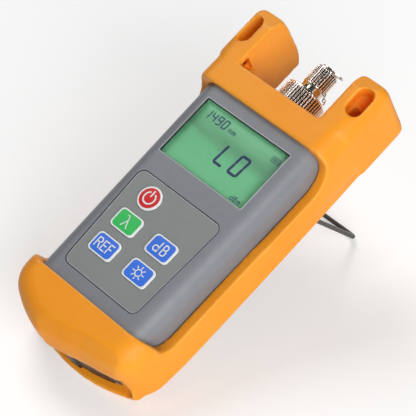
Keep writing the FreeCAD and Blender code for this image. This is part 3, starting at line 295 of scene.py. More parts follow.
def node(tree, kind, settings=None, **sockets):
    """A node with its settings, and its sockets given as values or as other nodes' outputs."""
    item = tree.nodes.new(kind)
    for key, setting in (settings or {}).items():
        setattr(item, key, setting)
    for key, given in sockets.items():
        feed(tree, item.inputs[key], given)
    return item


def math_node(tree, operation, *numbers):
    """Result of a sum on numbers that are given as values or as other nodes' outputs."""
    item = node(tree, "ShaderNodeMath", {"operation": operation})
    for socket, given in zip(item.inputs, numbers):
        feed(tree, socket, given)
    return item.outputs[0]


def spread(tree, given, low, high, first, last):
    """The given number's way from low to high, turned into a number from first to last."""
    item = node(tree, "ShaderNodeMapRange")
    for socket, number in zip(item.inputs, (given, low, high, first, last)):
        feed(tree, socket, number)
    return item.outputs[0]


def mix_colour(tree, factor, a, b, blend="MIX"):
    """Colour a where the factor is 0, and b, or b blended into a, where it is 1."""
    item = node(tree, "ShaderNodeMix", {"data_type": "RGBA", "blend_type": blend})
    for index, given in ((0, factor), (6, a), (7, b)):
        feed(tree, item.inputs[index], given)
    return item.outputs[2]


def object_place(tree):
    """The point's place on the object, for a pattern that stays with it."""
    return node(tree, "ShaderNodeTexCoord").outputs["Object"]


def noise(tree, place, scale, detail, **more):
    """Soft random pattern, from 0 to 1."""
    return node(tree, "ShaderNodeTexNoise", Vector=place, Scale=scale, Detail=detail, **more).outputs["Fac"]


def attribute_value(tree, name):
    """The number that the piece's mesh holds at each point under this name."""
    return node(tree, "ShaderNodeAttribute", {"attribute_name": name}).outputs["Fac"]


def new_group(name, inputs, outputs):
    """Empty shader group; its inputs are (name, first value) pairs and its outputs are names."""
    tree = bpy.data.node_groups.new(name, "ShaderNodeTree")
    for label, number in inputs:
        socket = tree.interface.new_socket(name=label, in_out="INPUT", socket_type="NodeSocketFloat")
        socket.default_value = number
    for label in outputs:
        tree.interface.new_socket(name=label, in_out="OUTPUT", socket_type="NodeSocketFloat")
    return tree, tree.nodes.new("NodeGroupInput").outputs, tree.nodes.new("NodeGroupOutput").inputs


def make_grain():
    """Moulded grain: two sizes of noise added into one height."""
    tree, given, result = new_group("moulded_grain", [("Scale", 1800.0), ("Coarse", 0.4)], ["Height"])
    place = object_place(tree)
    fine = noise(tree, place, given["Scale"], 2.0)
    coarse = noise(tree, place, math_node(tree, "MULTIPLY", given["Scale"], 0.17), 3.0)
    part = math_node(tree, "MULTIPLY", coarse, given["Coarse"])
    tree.links.new(math_node(tree, "ADD", fine, part), result["Height"])
    return tree


def make_handling():
    """Uneven sheen of a handled surface: soft clouds a few centimetres across, with small smudges."""
    tree, given, result = new_group("handling", [("Size", 30.0)], ["Mask"])
    place = object_place(tree)
    clouds = noise(tree, place, given["Size"], 5.0, Roughness=0.62)
    smudges = noise(tree, place, math_node(tree, "MULTIPLY", given["Size"], 9.0), 2.0)
    both = math_node(tree, "MULTIPLY_ADD", smudges, 0.35, clouds)
    tree.links.new(spread(tree, both, 0.45, 0.95, 0.0, 1.0), result["Mask"])
    return tree


def make_edge_highlight():
    """Painted edge highlight: where the surface bends outwards the mask rises, broken up by noise."""
    tree, given, result = new_group("painted_edge_highlight", [("Onset", 0.52), ("Full", 0.6)], ["Mask"])
    bend = node(tree, "ShaderNodeNewGeometry").outputs["Pointiness"]
    patches = noise(tree, object_place(tree), 140.0, 4.0)
    rise = spread(tree, bend, given["Onset"], given["Full"], 0.0, 1.0)
    broken = spread(tree, patches, 0.3, 0.7, 0.55, 1.0)
    tree.links.new(math_node(tree, "MULTIPLY", rise, broken), result["Mask"])
    return tree


GRAIN, HANDLING, EDGE_HIGHLIGHT = make_grain(), make_handling(), make_edge_highlight()


def use(tree, group, output, **numbers):
    """One output of a group placed in a material with its own values."""
    return node(tree, "ShaderNodeGroup", {"node_tree": group}, **numbers).outputs[output]


# ---------------------------------------------------------------- finishes

def colour(red, green, blue):
    """A colour written as 0-255 screen values, turned into linear light."""
    screen = np.array([red, green, blue]) / 255
    linear = np.where(screen <= 0.04045, screen / 12.92, ((screen + 0.055) / 1.055) ** 2.4)
    return tuple(linear) + (1.0,)


def base_material(name, light, dark, rough, rough_spread, grain, depth, coarse=0.4, size=30.0, edge=None,
                  metallic=0.0):
    """Principled surface with a clouded colour between light and dark, a roughness that follows the clouds,
    and a grain that shows as bump."""
    made = bpy.data.materials.new(name)
    made.use_nodes = True
    tree = made.node_tree
    surface = tree.nodes["Principled BSDF"]
    surface.inputs["Metallic"].default_value = metallic
    clouds = use(tree, HANDLING, "Mask", Size=size)
    tint = mix_colour(tree, clouds, dark, light)
    # the edge colour is a painted highlight, laid where the surface bends outwards
    if edge is not None:
        tint = mix_colour(tree, use(tree, EDGE_HIGHLIGHT, "Mask"), tint, edge)
    tree.links.new(tint, surface.inputs["Base Color"])
    roughness = spread(tree, clouds, 0.0, 1.0, rough + rough_spread, rough - rough_spread)
    tree.links.new(roughness, surface.inputs["Roughness"])
    relief = use(tree, GRAIN, "Height", Scale=grain, Coarse=coarse)
    bump = node(tree, "ShaderNodeBump", Strength=0.6, Distance=depth * MM, Height=relief)
    tree.links.new(bump.outputs["Normal"], surface.inputs["Normal"])
    return made, tree, surface, tint


def plain(name, light, dark, rough, rough_spread, grain, depth, **more):
    """Finish with nothing beyond its clouds, sheen and grain, its colours written as screen values."""
    return base_material(name, colour(*light), colour(*dark), rough, rough_spread, grain, depth, **more)[0]


def orange_rubber():
    """Satin moulded rubber with a painted highlight along its outward edges and a little light passing under
    its skin.
    """
    # the pale yellow edge colour is a painted highlight along the boot's edges
    made, _, surface, _ = base_material(
        "orange_rubber", colour(255, 166, 44), colour(255, 156, 34), 0.46, 0.07, 1500.0, 0.05, 0.6, 26.0,
        edge=colour(255, 212, 122))
    for socket, number in (("Coat Weight", 0.05), ("Coat Roughness", 0.35), ("Specular IOR Level", 0.25),
                           ("Subsurface Weight", 0.04), ("Subsurface Radius", (1.0, 0.45, 0.15)),
                           ("Subsurface Scale", 0.002)):
        surface.inputs[socket].default_value = number
    return made


def knurled_metal():
    """Nickel with painted shade in its grooves: the tint darkens to brown where the crest attribute falls."""
    made, tree, surface, tint = base_material(
        "knurled_nickel", colour(255, 252, 247), colour(240, 232, 222), 0.22, 0.06, 2600.0, 0.01, **METAL)
    # dark brown painted shade in the knurl grooves, where the crest attribute falls
    clear = spread(tree, attribute_value(tree, "crest"), 0.25, 0.7, 0.0, 1.0)
    tree.links.new(mix_colour(tree, clear, colour(30, 17, 11), tint), surface.inputs["Base Color"])
    return made


def display_green():
    """Green reflective display: an even panel with a faint net of unlit cells."""
    made, tree, surface, tint = base_material(
        "display_green", colour(114, 184, 140), colour(104, 174, 130), 0.3, 0.03, 5200.0, 0.004)
    cells = node(tree, "ShaderNodeTexBrick", {"offset": 0.0}, Vector=object_place(tree), Scale=900.0,
                 Color1=(1, 1, 1, 1), Color2=(0.97, 0.98, 0.97, 1), Mortar=(0.93, 0.95, 0.94, 1))
    panel = mix_colour(tree, 0.6, tint, cells.outputs["Color"], "MULTIPLY")
    tree.links.new(panel, surface.inputs["Base Color"])
    return made


def window_clear():
    """Clear plastic window that lets the lamps' light straight through to the display below it."""
    made, tree, surface, _ = base_material(
        "clear_window", (0.98, 1.0, 0.98, 1.0), (0.95, 0.98, 0.96, 1.0), 0.05, 0.02, 900.0, 0.001)
    surface.inputs["Transmission Weight"].default_value = 1.0
    surface.inputs["IOR"].default_value = 1.45
    clear = node(tree, "ShaderNodeBsdfTransparent", Color=(0.97, 0.99, 0.97, 1.0))
    path = node(tree, "ShaderNodeLightPath")
    mixed = node(tree, "ShaderNodeMixShader", Fac=path.outputs["Is Shadow Ray"])
    tree.links.new(surface.outputs[0], mixed.inputs[1])
    tree.links.new(clear.outputs[0], mixed.inputs[2])
    tree.links.new(mixed.outputs[0], tree.nodes["Material Output"].inputs["Surface"])
    return made


def key_colour(name, light, dark):
    """Key top: a printed colour with a white rim where the distance from the edge is small."""
    made, tree, surface, tint = base_material(name, colour(*light), colour(*dark), 0.34, 0.05, 3400.0, 0.012)
    inside = spread(tree, attribute_value(tree, "edge_distance"), 0.85, 1.0, 0.0, 1.0)
    tree.links.new(mix_colour(tree, inside, colour(240, 243, 243), tint), surface.inputs["Base Color"])
    return made


METAL = {"size": 160.0, "metallic": 1.0}
RUBBER = orange_rubber()
CASE = plain("grey_case", (136, 139, 145), (127, 130, 136), 0.44, 0.05, 3000.0, 0.03, coarse=0.3)
BACK_CASE = plain("dark_case", (58, 58, 62), (50, 50, 54), 0.5, 0.06, 3000.0, 0.04)
SHEET = plain("keypad_film", (140, 144, 143), (134, 138, 137), 0.5, 0.04, 4200.0, 0.015, coarse=0.2)
WHITE_PRINT = plain("white_print", (244, 246, 246), (234, 237, 237), 0.4, 0.05, 5200.0, 0.01)
# painted highlight on the rims of the display opening and the keypad film
RIM_HIGHLIGHT = plain("painted_rim_highlight", (190, 194, 198), (176, 180, 184), 0.38, 0.05, 4200.0, 0.01)
# painted shade on the wall inside the display opening and in the keypad's seam
RECESS_SHADE = plain("painted_recess_shade", (38, 41, 44), (30, 33, 36), 0.5, 0.05, 4200.0, 0.01)
SEGMENTS = plain("display_marks", (20, 34, 88), (16, 28, 76), 0.5, 0.04, 5200.0, 0.005)
# dark piece behind the bottom end's opening: partly the dark case end, partly painted shade in the gap
SHADE_PLUG = plain("dark_end_and_shade", (40, 34, 32), (28, 24, 23), 0.42, 0.08, 2200.0, 0.03)
GUIDE = plain("milky_guide", (238, 242, 236), (226, 232, 224), 0.35, 0.05, 2600.0, 0.02)
CERAMIC = plain("zirconia", (246, 244, 238), (238, 235, 228), 0.2, 0.04, 5200.0, 0.01)
STAND = plain("stand_grey", (70, 68, 66), (52, 50, 49), 0.42, 0.07, 2400.0, 0.03)
BOARD = plain("solder_mask", (26, 96, 52), (18, 78, 40), 0.34, 0.05, 1400.0, 0.03)
WRAP = plain("battery_sleeve", (60, 66, 78), (46, 50, 60), 0.3, 0.06, 2000.0, 0.02)
NICKEL = plain("nickel_plate", (226, 218, 206), (196, 184, 168), 0.2, 0.08, 2600.0, 0.02, **METAL)
STEEL = plain("spring_steel", (206, 206, 208), (178, 178, 182), 0.28, 0.08, 2600.0, 0.02, **METAL)
KNURLED = knurled_metal()
DISPLAY = display_green()
WINDOW = window_clear()
BLUE_KEY = key_colour("blue_key", (66, 126, 240), (56, 114, 228))
KEY_FINISHES = {
    "power_key": ("key_red", key_colour("red_key", (226, 34, 36), (212, 28, 32))),
    "wavelength_key": ("key_green", key_colour("green_key", (62, 206, 102), (52, 192, 92))),
    "decibel_key": ("key_blue", BLUE_KEY),
    "reference_key": ("key_blue", BLUE_KEY),
    "backlight_key": ("key_blue", BLUE_KEY),
}
NODE_FINISHES = {
    "front_shell": CASE, "rear_shell": BACK_CASE, "battery_door": BACK_CASE, "keypad_overlay": SHEET,
    "display_window": WINDOW, "lcd_panel": DISPLAY, "light_guide": GUIDE, "main_board": BOARD,
    "detector_board": BOARD, "key_domes": STEEL, "photodiode": STEEL, "battery_contacts": STEEL,
    "case_screws": STEEL, "stand_pins": STEEL, "port_base": NICKEL, "knurled_ring": NICKEL,
    "adapter_barrel": NICKEL, "dust_cap": NICKEL, "cap_eyelet": NICKEL, "retaining_chain": NICKEL,
    "alignment_sleeve": CERAMIC, "stand_bail": STAND, "battery_cells": WRAP, "boot": RUBBER,
    **{key: WHITE_PRINT for key in KEYS},
}
for name, made in NODE_FINISHES.items():
    materials = frame["nodes"][name].data.materials
    materials.clear()
    materials.append(made)


# ---------------------------------------------------------------- boot

def tool(name, rings, side=1):
    """Closed solid from a stack of closed rings of points, with a flat lid on the first and the last; drawn
    for the right side, and mirrored for the left."""
    rings = np.asarray(rings, float) * np.array([side, 1.0, 1.0])
    mesh = bpy.data.meshes.new(name)
    mesh.from_pydata(placed(rings.reshape(-1, 3)).tolist(), [], stack_faces(*rings.shape[:2]))
    face_outwards(mesh)
    return add_object(name, mesh)


def block(name, side, low, high):
    """Plain box between two corners of the right side, or between their mirror images on the left."""
    (x0, y0, z0), (x1, y1, z1) = low, high
    x0, x1 = sorted((side * x0, side * x1))
    plan = [(x0, y0), (x1, y0), (x1, y1), (x0, y1)]
    return tool(name, [[(x, y, z) for x, y in plan] for z in (z0, z1)])


def rounding(u, v, radius, turn):
    """Points on the quarter circle that rounds off the corner at (u, v)."""
    return [(u - radius + radius * math.cos(t), v - radius + radius * math.sin(t)) for t in turn]


def boot_half(y):
    """Half width of the boot at a place along it: its sides' straight taper, less the bottom corner's arc."""
    taper = LOW_HALF + TAPER_GAIN * np.clip((y - TAPER_FOOT) / TAPER_LENGTH, 0, 1)
    below = min(0.0, y - CORNER_TOP)
    return min(taper, LOW_HALF - CORNER_ARC + math.sqrt(max(0.0, CORNER_ARC ** 2 - below ** 2)))


def horn_fill(side):
    """Squared horn tip: plan rings stacked along Z. The outer side and the tip draw in by a quarter circle
    towards the face, and by a small one at the back."""
    face_edge, tip_edge, back_edge, corner, lip, middle = 8.0, 4.5, 3.5, 4.0, 1.6, -20.0
    front, back, turn = angles(0, 90, 9), angles(0, 85, 5), angles(0, 90, 7)
    heights = [*(BOOT_FACE - face_edge * (1 - np.cos(front))), middle,
               *(BOOT_REAR + back_edge * (1 - np.sin(back)))]
    outs = [*(face_edge * (1 - np.sin(front))), 0.0, *(back_edge * (1 - np.cos(back)))]
    ends = [*(tip_edge * (1 - np.sin(front))), 0.0, *(back_edge * (1 - np.cos(back)))]
    rings = []
    for z, out, end in zip(heights, outs, ends):
        x1, y1 = BOOT_SIDE - 0.15 - out, HORN_TIP - end
        inner = [(NOTCH_SIDE + lip - lip * math.sin(t), y1 - lip + lip * math.cos(t)) for t in turn]
        plan = [(NOTCH_SIDE, HORN_FOOT), (x1, HORN_FOOT)] + rounding(x1, y1, corner, turn) + inner
        rings.append([(x, y, z) for x, y in plan])
    return tool("horn_fill", rings, side)


def band_fill(side):
    """Fuller front edge of the band and horn: sections stacked along Y round the case's corner, with an
    edge radius that grows evenly from 6.8 to 8 mm."""
    inside = [(34.6, -12.0), (34.6, -7.0), (32.5, -1.5), (29.0, 0.3)]
    rings = []
    for y in np.linspace(BAND_LOW, FILL_HIGH, 12):
        width, radius = boot_half(y), 6.8 + 1.2 * (y - BAND_LOW) / (FILL_HIGH - BAND_LOW)
        edge = rounding(width, BOOT_FACE, radius, angles(90, 0, 8))
        section = [(29.0, BOOT_FACE)] + edge + [(width, -12.0)] + inside
        rings.append([(x, y, z) for x, z in section])
    return tool("band_fill", rings, side)


def side_fill(side):
    """Small back edge of the boot's side: sections stacked along Y. The side swells by half a sine wave
    over its length, and the edge radius falls from 5 mm at the ends to 2 mm."""
    swell, widest, wall = 0.8, 40.15, 5.2
    turn = angles(0, 90, 6)
    rings = []
    for y in np.linspace(FILL_LOW, FILL_HIGH, 42):
        middle = math.sin(math.pi * (y - FILL_LOW) / (FILL_HIGH - FILL_LOW))
        width = boot_half(y)
        reach = min(width + swell * middle, widest)
        radius = 5.0 - 3.2 * min(1.0, 2.2 * middle)
        inner = max(width - wall, 20.0) if y < -58.0 or y > 64.0 else 33.4
        edge = [(reach - radius + radius * math.cos(t), BOOT_REAR + radius - radius * math.sin(t))
                for t in turn]
        section = [(inner, -19.0), (width, -19.0), (reach, -27.0)] + edge + [(inner, BOOT_REAR)]
        rings.append([(x, y, z) for x, z in section])
    return tool("side_fill", rings, side)


def heel_fill():
    """Heel with a small back edge: sections across Y and Z stacked along X. The rim follows a flat
    parabola, a little inside the end's arc in the middle and a little outside it near the corners."""
    arc_half, corner_slope, inner = 30.0, 0.577, -60.0
    rings = []
    for x in np.linspace(-34.0, 34.0, 41):
        out = abs(x)
        arc_end = BOOT_END + END_ARC - math.sqrt(END_ARC ** 2 - min(out, arc_half) ** 2)
        arc_end += max(0.0, out - arc_half) * corner_slope + max(0.0, out - 31.3) ** 2 * 0.12
        rim = -79.3 + 0.0062 * x ** 2
        upper = min(arc_end, rim) if out > 20 else arc_end
        section = [(inner, -21.0), (arc_end + 0.15, -21.0), (upper * 0.5 + rim * 0.5, -27.5), (rim, -31.2),
                   (rim + 0.7, -32.6), (rim + 2.2, -33.8), (rim + 4.2, BOOT_REAR), (inner, BOOT_REAR)]
        rings.append([(x, y, z) for y, z in section])
    return tool("heel_fill", rings)


def cup_fill(side):
    """Swept corner of the cup: a thick sheet round the case's edge. Its free edge follows the side
    opening's own circular sweep, and rises above it by the square of a sine along the section's length."""
    width, wall, foot, low_edge = 38.5, 6.0, -60.0, -55.5
    sweep, extra = 13.0, 2.4
    turn = angles(90, 0, 11)
    outer = [(22.0, BOOT_FACE), (24.5, BOOT_FACE)] + rounding(width, BOOT_FACE, 10.5, turn)
    outer += [(width, z) for z in (-9.0, -10.5, -12.0, -13.5, -15.0)]
    inner = [(22.0, 0.1), (24.5, 0.1)] + rounding(width - wall, 0.1, 8.6, turn)
    inner += [(width - wall, z) for z in (-9.4, -10.8, -12.2, -13.6, -15.0)]
    outer, inner = np.array(outer), np.array(inner)
    length = np.concatenate([[0], np.cumsum(np.linalg.norm(np.diff(outer, axis=0), axis=1))])
    below = np.minimum(outer[:, 1] + 3.2, 0.0)
    swell = extra * np.sin(math.pi * (length / length[-1]) ** 2) ** 2
    rise = sweep - np.sqrt(sweep ** 2 - below ** 2) + swell
    rings = []
    for (xo, zo), (xi, zi), up in zip(outer, inner, rise):
        top = low_edge + up
        crest = (xo * 0.75 + xi * 0.25, top, zo * 0.75 + zi * 0.25)
        rings.append([(xo, foot, zo), (xo, top - 0.5, zo), crest, (xi, top - 0.3, zi), (xi, foot, zi)])
    return tool("cup_fill", rings, side)


def slot_cut(side):
    """Strap slot: a stadium outline driven in at a tilt, its mouth opened out by a small rounding."""
    tilt = math.radians(SLOT_TILT) * side
    middle = np.array(SLOT_MIDDLE) * (side, 1.0, 1.0)
    inwards = np.array([-math.sin(tilt), 0.0, -math.cos(tilt)])
    across, along = np.array([math.cos(tilt), 0.0, -math.sin(tilt)]), np.array([0.0, 1.0, 0.0])
    rings = []
    for depth, grow in ((-6.0, 5.5), (-0.9, 1.0), (-0.2, 0.45), (0.6, 0.1), (1.5, 0.0), (11.0, -0.2)):
        half_wide, half_long = SLOT_HALF[0] + grow, SLOT_HALF[1] + grow
        plan, _ = rounded_loop(half_wide, half_long, half_wide * 0.98, 9)
        rings.append(middle + inwards * depth + plan[:, :1] * across + plan[:, 1:] * along)
    return tool("slot_cut", rings)


def pocket_cut():
    """Wide opening through the bottom end, its back wall near the rim: rounded oblongs stacked along Y."""
    rings = []
    for y, grow in ((-84.0, 1.2), (-79.0, 0.5), (-77.5, 0.1), (-74.0, 0.0), (-71.0, 0.0)):
        plan, _ = rounded_loop(33.0 + grow, 7.5 + grow * 0.2, 3.5, 8)
        rings.append(np.column_stack([plan[:, 0], np.full(len(plan), y), plan[:, 1] - 22.6]))
    return tool("pocket_cut", rings)


def bumper_trim():
    """Straighter lower edge of the bumper on its right side: what stands past a line in plan is taken away,
    and the line draws back towards the face."""
    edge = [(-14.0, -81.5), (-6.0, -79.6), (3.5, -77.8), (12.3, -75.7),
            (21.6, -74.2), (30.4, -72.3), (38.0, -70.2)]
    plan = edge + [(60.0, -64.0), (60.0, -95.0), (-14.0, -95.0)]
    return tool("bumper_trim", [[(x, y + back, z) for x, y in plan]
                                for z, back in ((-17.0, 0.0), (-9.0, 0.0), (-3.0, 2.0), (4.0, 9.0))])


def exit_cut(side):
    """Three-cornered strap exit through the horn's inner wall: one triangle carried along X."""
    corners = [(68.0, -0.4), (73.0, -0.3), (72.2, -13.0)]
    return tool("exit_cut", [[(x, y, z) for y, z in corners] for x in (23.5, 31.0)], side)


def settle(item):
    """Turn the object's live modifiers into its mesh."""
    graph = bpy.context.evaluated_depsgraph_get()
    final = bpy.data.meshes.new_from_object(item.evaluated_get(graph))
    item.modifiers.clear()
    item.data = final


def even_net(item):
    """One closed skin round everything in the mesh, on an even net."""
    net = item.modifiers.new("net", "REMESH")
    net.mode = "VOXEL"
    net.voxel_size = BOOT_NET * MM
    settle(item)


def join(item, others):
    """Put the other solids' shells into the item's mesh; the next net makes them one skin."""
    work = bmesh.new()
    work.from_mesh(item.data)
    for other in others:
        work.from_mesh(other.data)
        bpy.data.objects.remove(other)
    work.to_mesh(item.data)
    work.free()


def carve(item, others):
    """Take the other solids away from the item."""
    for other in others:
        step = item.modifiers.new("cut", "BOOLEAN")
        step.operation = "DIFFERENCE"
        step.solver = "EXACT"
        step.object = other
    settle(item)
    for other in others:
        bpy.data.objects.remove(other)


def make_boot():
    """The moulded boot: the solid with squared horn tips, swept cup corners, tilted strap slots and a thin
    rim round the end's opening, all on an even net whose edges are relaxed into soft mould radii."""
    mesh = frame["nodes"]["boot"].data.copy()
    face_outwards(mesh, merge=1e-6)
    item = add_object("boot_rubber", mesh)
    fills = [heel_fill()]
    for side in (1, -1):
        fills += [horn_fill(side), band_fill(side), side_fill(side), cup_fill(side),
                  block("old_slot", side, (27.2, 73.6, -15.0), (39.2, 95.0, -2.2))]
    join(item, fills)
    even_net(item)
    cuts = [pocket_cut(), bumper_trim()]
    for side in (1, -1):
        cuts += [slot_cut(side), exit_cut(side),
                 block("passage", side, (28.0, 70.0, -13.0), (34.5, 84.0, -6.5))]
    carve(item, cuts)
    even_net(item)
    relax = item.modifiers.new("relax", "SMOOTH")
    relax.factor = 0.5
    relax.iterations = 4
    settle(item)
    points = np.empty(len(item.data.vertices) * 3, np.float32)
    item.data.vertices.foreach_get("co", points)
    points = np.clip(points.reshape(-1, 3), *np.array(cad_box))
    item.data.vertices.foreach_set("co", points.reshape(-1).astype(np.float32))
    item.data.update()
    item.data.shade_smooth()
    item.data.materials.clear()
    item.data.materials.append(RUBBER)
    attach(item, "housing")
    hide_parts("boot")


def make_end_shade_plug():
    """Dark plug behind the opening of the bottom end, partly the dark case end and partly painted shade in
    the gap: a plan outline stacked along Z, its near side drawn in at the top and at a seam."""
    near = np.array([(-7.5, -76.4), (-2.2, -77.4), (3.0, -77.1), (3.6, -76.0), (10.7, -75.0), (17.2, -73.4),
                     (21.0, -72.4)])
    far = np.array([(21.0, -71.9), (-9.0, -72.3)])
    rings = []
    for z, inset in ((-30.2, 0.0), (-24.4, 0.0), (-24.1, 0.25), (-23.8, 0.0), (-18.0, 0.0), (-17.4, 0.5)):
        plan = np.concatenate([near + (0.0, inset), far])
        rings.append(np.column_stack([plan, np.full(len(plan), z)]))
    points = np.array(rings)
    item = piece("end_shade_plug", points.reshape(-1, 3), stack_faces(*points.shape[:2]), "housing",
                 SHADE_PLUG, False)
    face_outwards(item.data)


make_boot()
make_end_shade_plug()


# ---------------------------------------------------------------- fibre port

def arc(y, r, radius, begin, finish, steps):
    """Profile points on a small circle about (y, r), from one angle to another in degrees."""
    return [(y + radius * math.cos(a), r + radius * math.sin(a), 0.0) for a in angles(begin, finish, steps)]


def make_ring():
    """Knurled ring: straight knurls between two plain rounded rims, with the bore and inner lip."""
    low, high, outer, bore, throat = 68.3, 79.0, 10.7, 7.95, 5.45
    profile = [(low, bore, 0), (high - 1.9, bore, 0), (high - 1.9, throat, 0)]
    profile += arc(high - 0.3, throat + 0.3, 0.3, 270, 360, 4)
    profile += arc(high - 0.7, outer - 0.9, 0.7, 0, 90, 6)
    profile += [(high - 1.1, outer - 0.25, 0), (high - 1.2, outer, RING_KNURL)]
    profile += [(y, outer, RING_KNURL) for y in np.linspace(high - 1.6, low + 1.4, 6)]
    profile += [(low + 1.0, outer, RING_KNURL), (low + 0.9, outer - 0.25, 0)]
    profile += arc(low + 0.6, outer - 0.8, 0.6, 90, 180, 5)
    item = turned("ring_knurled", profile[::-1], "ring", KNURLED, RING_GROOVES)
    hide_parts("knurled_ring")


def make_cap():
    """Dust cap: straight knurls, rounded rims, a closed end with the rivet's hole."""
    low, high, outer, bore, hole = 82.85, 93.25, 5.8, 4.05, 0.85
    profile = [(low, bore, 0), (high - 1.2, bore, 0), (high - 1.2, hole, 0), (high, hole, 0)]
    profile += arc(high - 0.5, outer - 0.6, 0.5, 0, 90, 5)
    profile += [(high - 0.8, outer - 0.2, 0), (high - 0.9, outer, CAP_KNURL)]
    profile += [(y, outer, CAP_KNURL) for y in np.linspace(high - 1.4, low + 1.3, 5)]
    profile += [(low + 0.9, outer, CAP_KNURL), (low + 0.8, outer - 0.2, 0)]
    profile += arc(low + 0.5, outer - 0.6, 0.5, 90, 180, 5)
    item = turned("cap_knurled", profile[::-1], "cap", KNURLED, CAP_GROOVES)
    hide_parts("dust_cap")


def make_chain():
    """Short chain beside the cap: round links of wire, each turned a quarter from the last."""
    link_radius, wire_radius, around, sides = 0.72, 0.24, 20, 8
    ring, tube = np.meshgrid(full_circle(around), full_circle(sides), indexing="ij")
    reach = link_radius + wire_radius * np.cos(tube)
    link = np.stack([reach * np.cos(ring), reach * np.sin(ring), wire_radius * np.sin(tube)], -1)
    link = link.reshape(-1, 3)
    tip = Matrix.Rotation(math.radians(35.0), 3, "Z")
    points, faces = [], []
    middles = [(6.5, 83.6, -17.4), (7.4, 82.4, -17.7), (8.2, 81.3, -18.1), (8.9, 80.3, -18.7)]
    for i, place in enumerate(middles):
        bent = Matrix.Rotation(math.radians(90.0 * i + 20.0), 3, "Y") @ tip
        faces += grid_faces(around, sides, True, True, start=i * len(link))
        points.append(link @ np.array(bent).T + place)
    item = piece("chain_links", np.concatenate(points), faces, "cap_carrier", NICKEL)
    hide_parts("retaining_chain")


make_ring()
make_cap()
make_chain()


# ---------------------------------------------------------------- face

def make_display():
    """Thin frame lines round the display's opening: a painted highlight on the outer rim and painted shade on
    the wall inside it.
    """
    middle = (0.0, (SCREEN_LOW + SCREEN_HIGH) / 2)
    loop = rounded_loop(SCREEN_HALF, (SCREEN_HIGH - SCREEN_LOW) / 2, 0.5, 4)
    rim = [(0.0, -0.3), (0.0, 0.03), (0.1, 0.12), (0.3, 0.12), (0.42, 0.05), (0.42, -0.3)]
    # dark wall inside the opening: painted shade in the recess
    shaded_wall = [(-0.3, -1.15), (-0.22, -0.34), (0.02, -0.28), (0.02, -1.15)]
    frame_strip("display_rim", loop, middle, rim, "housing", RIM_HIGHLIGHT)
    frame_strip("display_shaded_wall", loop, middle, shaded_wall, "housing", RECESS_SHADE)


def seven_segments(marks, height, slant=0.08):
    """Bars of a seven-segment figure as lines; marks name the lit ones, a to f clockwise, g the middle."""
    w, h, gap = height * 0.5, height, height * 0.06
    bars = {
        "a": [(gap, h), (w - gap, h)], "d": [(gap, 0), (w - gap, 0)], "g": [(gap, h / 2), (w - gap, h / 2)],
        "b": [(w, h - gap), (w, h / 2 + gap)], "c": [(w, h / 2 - gap), (w, gap)],
        "e": [(0, gap), (0, h / 2 - gap)], "f": [(0, h / 2 + gap), (0, h - gap)],
    }
    return [[(x + y * slant, y) for x, y in bars[mark]] for mark in marks]


def shifted(lines, dx, dy):
    """The same lines, moved across and along the face."""
    return [[(x + dx, y + dy) for x, y in line] for line in lines]


def make_readout():
    """The display's figures, two short units and a battery sign, as printed marks on the display."""
    small = []
    for i, marks in enumerate(["bc", "fgbc", "abcdfg", "abcdef"]):
        small += shifted(seven_segments(marks, 4.2), -22.4 + i * 3.6, 40.2)
    large = shifted(seven_segments("def", 9.6), -2.4, 26.0)
    large += shifted(seven_segments("abcdef", 9.6), 6.4, 26.0)
    unit = [[(0, 0), (0, 1.5)], [(0, 1.2), (0.4, 1.5), (0.9, 1.4), (1.1, 1.0), (1.1, 0)],
            [(2.0, 0), (2.0, 1.5)], [(2.0, 1.2), (2.3, 1.5), (2.7, 1.4), (2.9, 1.0), (2.9, 0)],
            [(2.9, 1.0), (3.2, 1.5), (3.6, 1.4), (3.8, 1.0), (3.8, 0)]]
    level_unit = [[(1.2, 2.2), (1.2, 0), (0, 0), (0, 1.2), (1.2, 1.2)],
                  [(2.0, 0), (2.0, 2.2), (3.0, 2.2), (3.0, 1.2), (2.0, 1.2)],
                  [(3.0, 1.2), (3.2, 0), (2.0, 0)],
                  [(4.0, 0), (4.0, 1.4), (5.6, 1.4), (5.6, 0)], [(4.8, 1.4), (4.8, 0)]]
    cell = [[(0, 0), (4.4, 0), (4.4, 2.6), (0, 2.6), (0, 0)], [(4.8, 0.8), (4.8, 1.8)]]
    charge = [[(x, 0.8), (x, 1.8)] for x in (1.0, 2.1, 3.2)]
    for name, lines, width in (("readout_small", small, 0.62),
                               ("readout_unit", shifted(unit, -7.2, 40.4), 0.42),
                               ("readout_large", large, 1.3),
                               ("readout_level_unit", shifted(level_unit, 16.4, 16.9), 0.36),
                               ("readout_battery", shifted(cell, 18.6, 41.0), 0.32),
                               ("readout_charge", shifted(charge, 18.6, 41.0), 0.6)):
        strokes(name, lines, (0, 0), width, LCD_TOP + PRINT_RISE, "housing", SEGMENTS)


def keypad_loop(shrink):
    """Points round the keypad's outline, a shape a little wider at the top with circular corners."""
    corners = np.array(SHEET_CORNERS) + np.array([(-1, 1), (-1, -1), (1, -1), (1, 1)]) * shrink
    radius = SHEET_ROUNDING - shrink
    points, out = [], []
    for i in range(4):
        come, go = corners[i] - corners[i - 1], corners[(i + 1) % 4] - corners[i]
        come, go = come / np.linalg.norm(come), go / np.linalg.norm(go)
        bend = math.atan2(come[0] * go[1] - come[1] * go[0], come @ go)
        middle = corners[i] - come * radius * math.tan(bend / 2) + np.array([-come[1], come[0]]) * radius
        start = math.atan2(-come[0], come[1])
        turn = np.linspace(start, start + bend, 8)
        direction = np.stack([np.cos(turn), np.sin(turn)], -1)
        points.append(middle + radius * direction)
        out.append(direction)
    return np.concatenate(points), np.concatenate(out)


